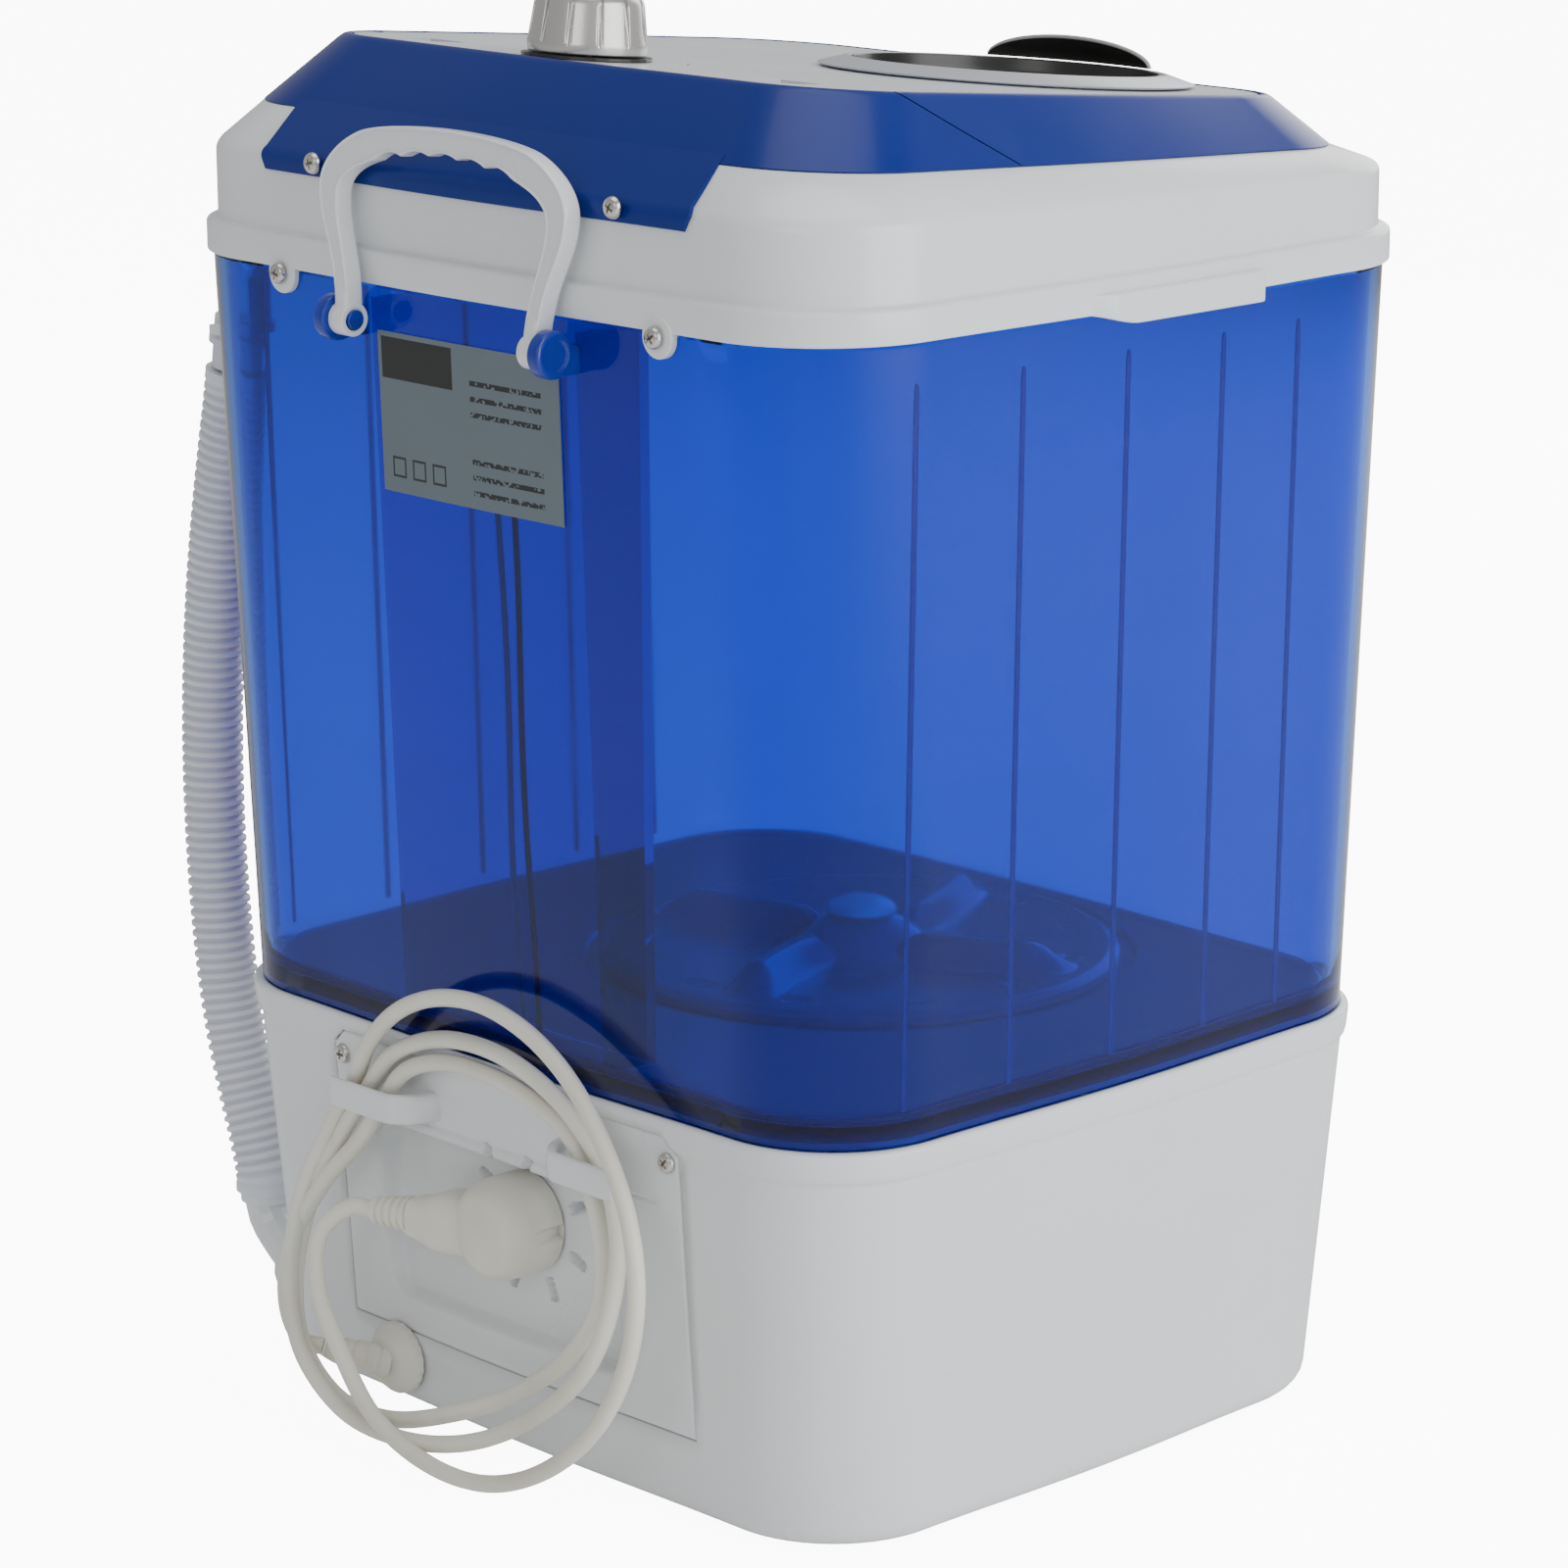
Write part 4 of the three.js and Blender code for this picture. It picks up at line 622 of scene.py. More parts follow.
def base_skin():
    """The base's outer skin as a grid of rings. Its columns meet the panel's window at the sides
    and the chamfers, and its rows meet it at the lower edge, the chamfers and the top."""
    turn = np.linspace(0, pi / 2, 7)
    rows = [(9 * (1 - cos(a)), 7 * (1 - sin(a))) for a in turn]
    rows += [(z, 0) for z in (16, 24, PANEL_LOW, 50, 75, 100, 125, 140, PANEL_TOP - PANEL_CHAMFER, 149.6)]
    rows += [(150.2, -0.5), (151.0, -1.1), (153, -1.3), (PANEL_TOP, -1.3), (160.2, -1.3), (161.3, -1.0),
             (162.0, -0.2), (162.2, 0.8), (162.2, 2.0)]
    inner, chamfer = PANEL_HALF, PANEL_HALF - PANEL_CHAMFER
    rings = []
    for z, inset in rows:
        width, depth = base_half(min(z, BASE_HEIGHT))
        scale = width / TUB_TOP[0]
        xy = outline(width - inset, depth - inset, 0, CORNER_RADIUS * scale, CROWN * scale, 40, 41, 14)
        side_end = width - inset - CORNER_RADIUS * scale
        knots = (side_end, inner, chamfer, -chamfer, -inner, -side_end)
        x = np.concatenate([np.linspace(low, high, count, endpoint=False)
                            for low, high, count in zip(knots, knots[1:], (5, 3, 25, 3, 5))])
        start = 40 + 14
        xy[start:start + 41, 0] = x
        s = x / side_end
        xy[start:start + 41, 1] = depth - inset + CROWN * scale * (1 - s ** 2) ** 2
        rings.append(np.column_stack([xy, np.full(len(xy), z)]))
    return np.stack(rings)


def in_window(centres):
    """True where a face of the base skin lies in the rear panel's window."""
    x, z = np.abs(centres[:, 0]), centres[:, 2]
    return ((centres[:, 1] > 100) & (x < PANEL_HALF) & (z > PANEL_LOW) & (z < PANEL_TOP)
            & (x + z < PANEL_HALF + PANEL_TOP - PANEL_CHAMFER + 0.1))


def make_base():
    """The base: its outer skin with the panel's window left open. Cells near the chamfered corners
    of the window are split into triangles, so that its edge runs along their diagonals."""
    rings = base_skin()
    points = rings.reshape(-1, 3)
    quads = grid_faces(*rings.shape[:2])
    a, b, c, d = quads.T
    centres = points[quads].mean(1)
    # the diagonal of each cell runs the way that the chamfer does on its side of the middle
    plus = centres[:, 0] > 0
    one = np.where(plus[:, None], np.stack([a, b, c], -1), np.stack([a, b, d], -1))
    two = np.where(plus[:, None], np.stack([a, c, d], -1), np.stack([b, c, d], -1))
    near = (centres[:, 1] > 100) & (centres[:, 2] > PANEL_TOP - 9) & (centres[:, 2] < PANEL_TOP)
    triangles = np.concatenate([one[near], two[near]])
    rest = quads[~near]
    triangles = triangles[~in_window(points[triangles].mean(1))]
    rest = rest[~in_window(points[rest].mean(1))]
    faces = rest.tolist() + triangles.tolist()
    piece = add_mesh("base_shell", points, faces, "white", "cabinet", "base_housing", 50)
    thicken(piece, BASE_WALL)


def rounded_box_distance(x, z, low_x, high_x, low_z, high_z, radius):
    """Signed distance from a rectangle with round corners; negative inside."""
    qx = np.abs(x - (low_x + high_x) / 2) - (high_x - low_x) / 2 + radius
    qz = np.abs(z - (low_z + high_z) / 2) - (high_z - low_z) / 2 + radius
    return np.hypot(np.maximum(qx, 0), np.maximum(qz, 0)) + np.minimum(np.maximum(qx, qz), 0) - radius


def make_panel():
    """The rear panel: a height field over a grid in x and z. Its depth is the pocket's, where the
    distance from a rounded rectangle is negative, plus that of eight slots around the plug and a
    shallow groove under the hooks."""
    gap = 0.45
    s, t = np.meshgrid(np.linspace(-1, 1, 207), np.linspace(0, 1, 125), indexing="ij")
    x = s * (PANEL_HALF - gap)
    top = PANEL_TOP - gap - np.maximum(0, np.abs(x) - (PANEL_HALF - PANEL_CHAMFER))
    z = PANEL_LOW + gap + t * (top - PANEL_LOW - gap)
    wall = rear_wall_y(x, z)
    floor_y = rear_wall_y(0, PLUG_Z) - POCKET_DEPTH
    pocket = 1 - smooth_step(rounded_box_distance(x, z, *POCKET, 12), -3.0, 0.6)
    y = wall * (1 - pocket) + floor_y * pocket
    for k in range(8):
        angle = (k + 0.5) * pi / 4
        u = (x - PLUG_X) * cos(angle) + (z - PLUG_Z) * sin(angle)
        v = -(x - PLUG_X) * sin(angle) + (z - PLUG_Z) * cos(angle)
        distance = rounded_box_distance(u, v, 24, 33, -1.6, 1.6, 1.0)
        y = y - SLOT_DEPTH * (1 - smooth_step(distance, -0.5, 0.5))
    groove = 1 - smooth_step(rounded_box_distance(x, z, -88, 88, 126.3, 127.3, 0.4), -0.3, 0.9)
    y = y - 0.9 * groove * (1 - pocket)
    half = PANEL_HALF - gap
    edge = rounded_box_distance(x, z, -half, half, PANEL_LOW + gap, PANEL_TOP - gap, 2)
    y = y - 0.8 * smooth_step(edge, -1.2, 0.3)
    points = np.stack([x, y, z], -1)
    faces = grid_faces(207, 125, False, False).tolist()
    piece = add_mesh("panel_face", points.reshape(-1, 3), faces, "white", "cabinet", "rear_panel", 60)
    thicken(piece, PANEL_WALL)
    hooks = [closed(hook_rings(side)) for side in (-1, 1)]
    add_piece("cord_hooks", hooks, "white", replaces="rear_panel")


def hook_rings(side):
    """A cord hook: a bar that leaves the panel and turns outwards, between two edge lines in plan."""
    root = base_half(130)[1] - 1
    inner = np.vstack([bezier([(44, root), (45, root + 16), (52, root + 17.5)], 10),
                       bezier([(52, root + 17.5), (66, root + 17.3), (83, root + 17.6)], 14),
                       bezier([(83, root + 17.6), (84.6, root + 17.8), (84.8, root + 19)], 6, True)])
    outer = np.vstack([bezier([(35, root), (36, root + 14), (48, root + 20)], 10),
                       bezier([(48, root + 20), (56, root + 20.6), (83, root + 20.3)], 14),
                       bezier([(83, root + 20.3), (84.6, root + 20.2), (84.8, root + 19.1)], 6, True)])
    lift = lambda edge: np.column_stack([side * edge[:, 0], edge[:, 1], np.full(len(edge), HOOK_Z)])
    return between_edges(lift(inner), lift(outer), HOOK_HEIGHT, (0, 0, 1), 0.5)


def pan_head(radius=4.2, height=2.6):
    """A pan head with a cross recess: height h(r) of a flattened dome less d times a cross mask."""
    r, angle = np.meshgrid(np.linspace(0, 1, 22)[1:], around(96),
                           indexing="ij")
    x, y = r * radius * np.cos(angle), r * radius * np.sin(angle)
    fall = np.sqrt(np.clip(1 - np.maximum(0, (r - 0.72) / 0.28) ** 2, 0.02, 1))
    dome = height * (1 - 0.35 * r ** 2) * fall
    arm = lambda a, b: (1 - smooth_step(np.abs(a), 0.32, 0.6)) * (1 - smooth_step(np.abs(b), 1.7, 2.3))
    cross = np.maximum(arm(x, y), arm(y, x))
    rings = np.stack([x, y, dome - 1.3 * cross], -1)[::-1]
    foot = rings[:1] * [1, 1, 0]
    under = foot * [0.4, 0.4, 0]
    return np.concatenate([under, foot, rings])


# for each pair of screws: distance from the middle, level, and where the wall stands
SCREWS = {
    "panel_screw": (96.5, 145.0, rear_wall_y(96.5, 145.0)),
    "rim_screw": (TAB_X, TAB_Z, RIM[1] + CROWN * 0.7),
    "console_screw": (86.0, 505.0, WALL[1] + CROWN + 2.0),
}


def make_screws():
    """The six visible screws, each turned by its own angle about its axis, with a worn recess."""
    for family, (x, z, face) in SCREWS.items():
        for side, end, turn in ((-1, "left", 0.35), (1, "right", 1.1)):
            spin = np.array(Matrix.Rotation(turn + z, 3, "Z"))
            points, faces = closed(stand(pan_head() @ spin.T, (side * x, face + 0.1, z), (0, 1, 0)))
            name = f"{family}_{end}"
            piece = add_piece(name + "_head", [(points, faces)], ["steel", "rust"], replaces=name)
            at = points[faces[:, 0]]
            recess = (at[:, 1] < face + 1.55) & (np.hypot(at[:, 0] - side * x, at[:, 2] - z) < 2.2)
            piece.data.polygons.foreach_set("material_index", recess.astype(np.int32))


# ---- tub ----
def side_wall_x(y, z):
    """The inner face of the tub's side wall at a place."""
    share = (z - TUB_BOTTOM_Z) / (TUB_TOP_Z - TUB_BOTTOM_Z)
    width = TUB_LOW[0] + (TUB_TOP[0] - TUB_LOW[0]) * share
    depth = TUB_LOW[1] + (TUB_TOP[1] - TUB_LOW[1]) * share
    scale = width / TUB_TOP[0]
    flat = depth - CORNER_RADIUS * scale
    beyond = np.maximum(0, np.abs(y) - flat) / (CORNER_RADIUS * scale)
    bow = CROWN * scale * (1 - np.clip(y / flat, -1, 1) ** 2) ** 2
    return width - TUB_WALL + bow - CORNER_RADIUS * scale * (1 - np.sqrt(1 - np.minimum(beyond, 1) ** 2))


def rib_bars():
    """Five flat ribs on each side wall of the tub, 2.4 mm wide, with rounded upper ends."""
    z = np.concatenate([np.linspace(TUB_FLOOR_Z + 6, 440, 30), [442, 444, 445.5, 446.5, 447]])
    shapes = []
    for y in RIB_PLACES:
        taper = np.sqrt(np.clip(1 - np.clip((z - 441) / 6.0, 0, 1) ** 2, 0.01, 1))
        for side in (-1, 1):
            x = side_wall_x(y, z) - 0.75
            edge = lambda half: np.column_stack([side * x, y + half * taper, z])
            shapes.append(closed(between_edges(edge(-1.2), edge(1.2), 1.3, (1, 0, 0), 0.8, 12)))
    return shapes


def make_tub():
    """The tub: rings that go up the outer wall, over the mouth, down the inner wall, across the
    floor and the pulsator's recess, and back under the floor."""
    def wall(z, inset):
        share = (z - TUB_BOTTOM_Z) / (TUB_TOP_Z - TUB_BOTTOM_Z)
        return [TUB_LOW[0] + (TUB_TOP[0] - TUB_LOW[0]) * share - inset, z,
                TUB_LOW[1] + (TUB_TOP[1] - TUB_LOW[1]) * share - inset, 0, 0]
    up = [wall(z, 0) for z in np.linspace(TUB_BOTTOM_Z + 1, TUB_TOP_Z - 1, 24)]
    down = [wall(z, TUB_WALL) for z in np.linspace(TUB_TOP_Z - 1, TUB_FLOOR_Z + 9, 40)]
    fillet = [wall(TUB_FLOOR_Z + 9 * (1 - sin(a)), TUB_WALL + 9 * (1 - cos(a)))
              for a in np.linspace(0.2, pi / 2, 7)]
    rows = ([wall(TUB_BOTTOM_Z, 0.8)] + up + [wall(TUB_TOP_Z, 0.8), wall(TUB_TOP_Z, TUB_WALL - 0.8)]
            + down + fillet)
    rings = plan_rings(rows)
    centre = (0, PULSATOR_Y)
    recess = PULSATOR_RADIUS + 6
    circles = [circle_like(rings[-1], centre, r, z) for r, z in (
        (recess + 1.2, TUB_FLOOR_Z), (recess, TUB_FLOOR_Z - 1.6), (11.0, TUB_FLOOR_Z - 1.6), (11.0, 165.0),
        (recess + 2, 165.0))]
    under = plan_rings([wall(165.0, TUB_WALL + 2), wall(165.0, TUB_WALL), wall(TUB_BOTTOM_Z, TUB_WALL)])
    rings = np.concatenate([rings, np.stack(circles), under])
    points, faces = closed(rings, wrap_rows=True)
    shell = add_piece("tub_shell", [(points, faces)], ["tub", "floor"], replaces="outer_tub")
    inside = np.arange(len(faces)) >= (len(up) + 2) * rings.shape[1]
    low = points[faces, 2].mean(1) < TUB_FLOOR_Z + 1.5
    shell.data.polygons.foreach_set("material_index", (inside & low).astype(np.int32))
    add_piece("tub_ribs", rib_bars(), "boss", replaces="outer_tub")
    add_piece("handle_bosses", handle_bosses(), "boss", replaces="outer_tub")


def handle_bosses():
    """Each handle boss: a round disc with a dished face, a pin through the eye, and an arm that
    joins it to the tub wall."""
    shapes = []
    for side in (-1, 1):
        disc = soften([(0, 0), (9, 0), (9, 5.6), (6.4, 6.2), (5.6, 5.2), (0, 5.2)],
                      [0, 0.8, 1, 0.6, 0.5, 0], False)
        shapes.append(closed(stand(turned(disc, 40), (side * 59.0, HANDLE_Y, HANDLE_Z), (side, 0, 0))))
        pin = soften([(0, 0), (3.8, 0), (3.8, 9.6), (0, 9.6)], [0, 0.6, 0, 0], False)
        shapes.append(closed(stand(turned(pin, 28), (side * 49.4, HANDLE_Y, HANDLE_Z), (side, 0, 0))))
        wall_y = 166.4
        y = np.linspace(wall_y, HANDLE_Y, 10)
        rise = 4.5 * ((y - wall_y) / (HANDLE_Y - wall_y)) ** 2
        top = np.column_stack([np.full(10, side * 61.8), y, 452.5 + rise])
        low = top * [1, 1, 0] + [0, 0, 441.6]
        shapes.append(closed(between_edges(low, top, 5.0, (1, 0, 0), 0.4)))
    return shapes


def make_pulsator():
    """The pulsator: a polar height field z(r, a). A flat disc with a rounded lip, four curved
    vanes whose ridge angle leans by 0.35 rad over the radius, rings of shallow dimples and a hub."""
    r, a = np.meshgrid(np.linspace(0, PULSATOR_RADIUS, 72)[1:], around(288),
                       indexing="ij")
    hub = 14.0 * np.exp(-(r / 24.0) ** 4)
    dish = 1.6 * smooth_step(r, 30, 100)
    lean = 0.35 * r / PULSATOR_RADIUS
    near = np.abs((a - lean + pi / 4) % (pi / 2) - pi / 4) * r
    vane = 11.0 * (1 - smooth_step(near, 2.0, 13.0)) * smooth_step(r, 14, 34) * (1 - smooth_step(r, 78, 98))
    dimple = 0.8 * sum((np.cos(count * a) > limit) * (np.abs(r - middle) < 4)
                       for count, limit, middle in ((12, 0.75, 88), (8, 0.8, 48)))
    lip = -2.2 * smooth_step(r, PULSATOR_RADIUS - 4, PULSATOR_RADIUS)
    base = TUB_FLOOR_Z - 1.3
    z = base + 3.8 + np.maximum(hub, vane) + dish - dimple * (near > 14) + lip
    top = np.stack([r * np.cos(a), r * np.sin(a) + PULSATOR_Y, z], -1)[::-1]
    foot = top[:1] * [1, 1, 0] + [0, 0, base]
    points, faces = closed(np.concatenate([foot, top]))
    add_piece("pulsator_disc", [(points, faces)], "floor", "agitator", "pulsator", 60)
    cap = soften([(0, 0), (14, 0), (13.2, 3.2), (6, 6), (0, 6.6)], [0, 0.6, 2, 2, 0], False)
    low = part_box("pulsator_cap")[0][2] / MM - ORIGIN[2] / MM
    cap_shape = closed(turned(cap, 48) + [0, PULSATOR_Y, low])
    add_piece("pulsator_hub_cap", [cap_shape], "white", "agitator", "pulsator_cap")


def make_label():
    """The rating plate: a thin sheet that follows the rear wall of the tub."""
    x, z = np.meshgrid(np.linspace(*LABEL_X, 40), np.linspace(*LABEL_Z, 14), indexing="ij")
    share = (z - TUB_BOTTOM_Z) / (TUB_TOP_Z - TUB_BOTTOM_Z)
    flat = TUB_LOW[0] + (TUB_TOP[0] - TUB_LOW[0]) * share - CORNER_RADIUS
    wall = TUB_LOW[1] + (TUB_TOP[1] - TUB_LOW[1]) * share + CROWN * (1 - (x / flat) ** 2) ** 2
    sheet = [np.stack([x, wall + lift, z], -1) for lift in (0.6, 0.15)]
    add_piece("rating_sheet", [slab(*sheet)], "label", replaces="rating_plate")


def make_wires():
    """Two thin wires in the duct, each a round section along a gently waving line."""
    for name, finish, x, phase in (("wire_live", "brown_wire", -6.0, 0.0),
                                   ("wire_neutral", "blue_wire", 2.0, 1.4)):
        z = np.linspace(173, 440, 60)
        wall_y = TUB_LOW[1] + (TUB_TOP[1] - TUB_LOW[1]) * (z - BASE_HEIGHT) / 300
        path = np.stack([x + 2.2 * np.sin(z / 34 + phase), wall_y - 14 + 1.5 * np.sin(z / 52 + phase), z], -1)
        add_piece(name + "_line", [closed(swept(path, 1.2, 10))], finish, replaces=name)


# ---- top frame, lid and console ----
def rear_y(size, x):
    """Where the rear side of an outline of this size stands at x."""
    scale = size[0] / TUB_TOP[0]
    s = np.clip(np.asarray(x, float) / (size[0] - CORNER_RADIUS * scale), -1, 1)
    return size[1] + CROWN * scale * (1 - s ** 2) ** 2


def slab(front, back):
    """A closed skin over two grids [station, along, xyz] that face away from each other; strips of
    quads close its ends."""
    rings = np.concatenate([front, back[:, ::-1]], axis=1)
    rows, cols = rings.shape[:2]
    k = np.arange(cols // 2 - 1)
    cap = np.stack([k, k + 1, cols - 2 - k, cols - 1 - k], -1)
    faces = np.concatenate([grid_faces(rows, cols), cap[:, ::-1], cap + (rows - 1) * cols])
    points = rings.reshape(-1, 3)
    return points, turn_outwards(points, faces)


def block(low, high):
    """A plain box between two corners."""
    (x0, y0, z0), (x1, y1, z1) = low, high
    ring = lambda z: [(x0, y0, z), (x1, y0, z), (x1, y1, z), (x0, y1, z)]
    return closed(np.array([ring(z0), ring(z1)], float))


def rect_like(ring, low, high, level, slope):
    """A rectangle whose points stand in the same directions as those of a ring."""
    low, high = np.asarray(low, float), np.asarray(high, float)
    out = ring[:, :2] - (low + high) / 2
    out /= np.max(np.abs(out) / ((high - low) / 2), axis=1)[:, None]
    xy = out + (low + high) / 2
    return np.column_stack([xy, level + slope * xy[:, 1]])


def size_row(size, level, slope=0.0, inset=0.0, shift=0.0):
    """One row for plan_rings: a plan size less an inset, at a level that may slope along y."""
    return [size[0] - inset, level, size[1] - inset, slope, shift]


def make_top_frame():
    """The white top frame: rim band, upright wall, sloping shoulder and the plate under the lid
    with its opening, as one skin that turns round into its own inner side. It has a tab under each
    rim screw and a lifting lug on each side, whose lower edge rises into the rim towards the rear."""
    wall = FRAME_WALL
    low = TUB_TOP_Z + 0.3
    outer = soften([size_row(RIM, low, inset=5), size_row(RIM, low), size_row(RIM, RIM_TOP_Z),
                    size_row(WALL, RIM_TOP_Z + 0.8), size_row(WALL, CREASE_Z, CREASE_SLOPE),
                    size_row(SHOULDER, SHOULDER_Z, SHOULDER_SLOPE)],
                   [0, 1.0, 1.6, 1.0, 3.0, 0], wrap=False, steps=5)
    inner = [size_row(SHOULDER, SHOULDER_Z - wall, SHOULDER_SLOPE, wall),
             size_row(WALL, CREASE_Z - wall, CREASE_SLOPE, wall), size_row(WALL, low + 4, inset=wall)]
    outer, inner = plan_rings(outer), plan_rings(inner)
    mouth = [rect_like(outer[-1], (-126, -116), (126, 34), SHOULDER_Z - drop, SHOULDER_SLOPE)
             for drop in (0, wall)]
    shapes = [closed(np.concatenate([outer, mouth, inner]), wrap_rows=True)]
    for side in (-1, 1):
        tab = soften([(0, -2.5), (8, -2.5), (8, 2.1), (0, 2.1)], [0, 0.3, 0.9, 0], False)
        face = rear_y(RIM, TAB_X)
        shapes.append(closed(stand(turned(tab, 40), (side * TAB_X, face - 1.6, TAB_Z), (0, 1, 0))))
        y = np.linspace(-60.5, 38.5, 60)
        root = TUB_TOP[0] + 0.35 + CROWN * (1 - (y / 114.2) ** 2) ** 2
        reach = RIM[0] + CROWN - 2 + 6 * smooth_step(y, -61, -55) * (1 - smooth_step(y, 24, 39.5))
        edge = lambda x: np.column_stack([side * x, y, np.full(60, LUG_Z)])
        points, faces = closed(between_edges(edge(root), edge(reach), LUG_HEIGHT, (0, 0, 1), 0.25))
        points[:, 2] += 0.4 * smooth_step(points[:, 1], 12, 39.5) * (LUG_TOP_Z - points[:, 2])
        shapes.append((points, faces))
    add_piece("frame_shell", shapes, "white", replaces="top_frame", crease=50)


def bezel_rings():
    """The blue bezel before it is parted: chamfer, rounded upper edge, seat for the white insert,
    and the hollow below."""
    foot = size_row(SHOULDER, SHOULDER_Z + 0.35, SHOULDER_SLOPE)
    deck = lambda inset, drop: size_row(DECK, DECK_Z - drop, DECK_SLOPE, inset, DECK_SHIFT)
    rows = [foot, deck(0, 0), deck(2.2, 0), deck(2.2, 2.95), deck(10, 2.95), deck(10, 5.6), deck(3, 5.6),
            size_row(SHOULDER, SHOULDER_Z + 0.35, SHOULDER_SLOPE, 3)]
    return plan_rings(soften(rows, [0.5, 2.6, 0.5, 0, 0.5, 0, 0, 0], steps=5))


def cut_by_plane(points, faces, point, normal):
    """What lies behind a plane, closed again where the plane cuts it."""
    mesh = bmesh.new()
    corners = [mesh.verts.new(p) for p in points]
    for face in faces:
        mesh.faces.new([corners[i] for i in face])
    everything = mesh.verts[:] + mesh.edges[:] + mesh.faces[:]
    bmesh.ops.bisect_plane(mesh, geom=everything, plane_co=point, plane_no=normal, clear_outer=True)
    rim = [edge for edge in mesh.edges if edge.is_boundary]
    bmesh.ops.holes_fill(mesh, edges=rim, sides=0)
    bmesh.ops.recalc_face_normals(mesh, faces=mesh.faces[:])
    mesh.verts.index_update()
    left = np.array([vertex.co[:] for vertex in mesh.verts])
    kept = [[vertex.index for vertex in face.verts] for face in mesh.faces]
    mesh.free()
    return left, kept


def seam_y(z):
    """The leaning joint between lid and console, at a level."""
    return SEAM_TOP_Y + (z - deck_z(SEAM_TOP_Y)) * SEAM_LEAN


def joint_line(x, z, back, grow):
    """The joint in plan at level z: the straight line, or the apron's circle where that stands
    further forward."""
    radius = APRON_RADIUS + grow
    dx = np.clip((x - KNOB[0]) / radius, -1, 1)
    circle = np.where(np.abs(x - KNOB[0]) < radius, KNOB[1] - radius * np.sqrt(1 - dx ** 2), 1e3)
    return np.minimum(seam_y(z) - back, circle)


def joint_stations(half, grow=0.0, extra=()):
    """Places along x, dense where the apron's circle meets the line."""
    arc = KNOB[0] + (APRON_RADIUS + grow) * np.sin(np.linspace(-pi / 2, pi / 2, 61))
    return np.unique(np.concatenate([np.linspace(-half, half, 60), arc, extra]))


def leaning_wall(front_back, front_grow, depth, grow_step):
    """A wall along the joint, from just above the frame's plate to just under the insert."""
    x = joint_stations(144.0, front_grow)
    top_y = joint_line(x, deck_z(SEAM_TOP_Y) - 3.5, front_back, front_grow)
    t = np.linspace(0, 1, 12)[None, :]
    z = 517.4 * (1 - t) + (deck_z(top_y) - 3.6)[:, None] * t
    grids = []
    for back, grow in ((front_back, front_grow), (front_back + depth, front_grow + grow_step)):
        line = joint_line(x[:, None], z, back, grow)
        grids.append(np.stack([np.broadcast_to(x[:, None], z.shape), line, z], -1))
    return slab(*grids)


def flap():
    """The console's rear flap: it carries on from the chamfer, bends over the frame's crease and
    hangs down the rear wall."""
    x = np.linspace(-1, 1, 90)[:, None]
    path = soften([(-17.9, 525.0), (1.9, 506.0), (1.9, 499.6)], [0, 3.5, 0], wrap=False, steps=6)
    t = np.linspace(0, 1, len(path))
    half = FLAP_HALF + 1.6 * np.sin(pi * t)
    corner = 1.2 * smooth_step(t, 0.9, 1.0)

    def skin(sink):
        across = x * (half - corner)
        depth = rear_y(WALL, across) + path[:, 0] - sink
        return np.stack([across, depth, np.broadcast_to(path[:, 1] - sink * 0.3, across.shape)], -1)
    return slab(skin(0.0), skin(1.5))


def make_console():
    """The blue console and the blue lid frame: the two halves of the bezel, each with its wall
    along the joint, and the hinge's lugs and arms."""
    points, faces = closed(bezel_rings(), wrap_rows=True)
    level = float(deck_z(SEAM_TOP_Y))
    rear = cut_by_plane(points, faces, (0, SEAM_TOP_Y, level), (0, -1, SEAM_LEAN))
    hinge_z = float(deck_z(HINGE_Y)) - HINGE_DROP
    lugs = [block((x - 2.3, 86, hinge_z - 4), (x + 2.3, 106, hinge_z + 1))
            for x in (side * HINGE_X + end * 13 for side in (-1, 1) for end in (-1, 1))]
    shapes = [rear, flap(), leaning_wall(0.0, 0.0, -4.26, -3.0)] + lugs
    add_piece("console_shell", shapes, "blue", replaces="console_cover", crease=32)

    front = cut_by_plane(points, faces, (0, SEAM_TOP_Y - SEAM_GAP, level), (0, 1, -SEAM_LEAN))
    arms = []
    for side in (-1, 1):
        barrel = turned([(0, -10), (3.4, -10), (3.4, 10), (0, 10)], 24)
        arms.append(closed(stand(barrel, (side * HINGE_X, HINGE_Y, hinge_z), (1, 0, 0))))
        arms.append(block((side * HINGE_X - 10, 74, hinge_z - 4),
                          (side * HINGE_X + 10, HINGE_Y, hinge_z - 0.2)))
    shapes = [front, leaning_wall(SEAM_GAP, SEAM_GAP, 4.26, 3.0)] + arms
    add_piece("lid_shell", shapes, "blue", "lid", "lid_frame", 32)


def make_plate(name, loops, body, node):
    """A flat insert in the deck's plane: closed loops of points in plan, filled and given depth."""
    mesh = bmesh.new()
    for loop in loops:
        xy = np.asarray(loop, float)
        corners = [mesh.verts.new(p) for p in place(np.column_stack([xy, deck_z(xy[:, 1]) - INSERT_DROP]))]
        for a, b in zip(corners, corners[1:] + corners[:1]):
            mesh.edges.new((a, b))
    bmesh.ops.triangle_fill(mesh, use_beauty=True, use_dissolve=False, edges=mesh.edges[:])
    for face in mesh.faces:
        if face.normal.z < 0:
            face.normal_flip()
    data = bpy.data.meshes.new(name)
    mesh.to_mesh(data)
    mesh.free()
    piece = bpy.data.objects.new(name, data)
    bpy.context.scene.collection.objects.link(piece)
    data.materials.append(MATERIALS["white"])
    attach(piece, body)
    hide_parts(node)
    thicken(piece, INSERT_WALL)
    edge = piece.modifiers.new("Edge", "BEVEL")
    edge.width = 0.5 * MM
    edge.segments = 2


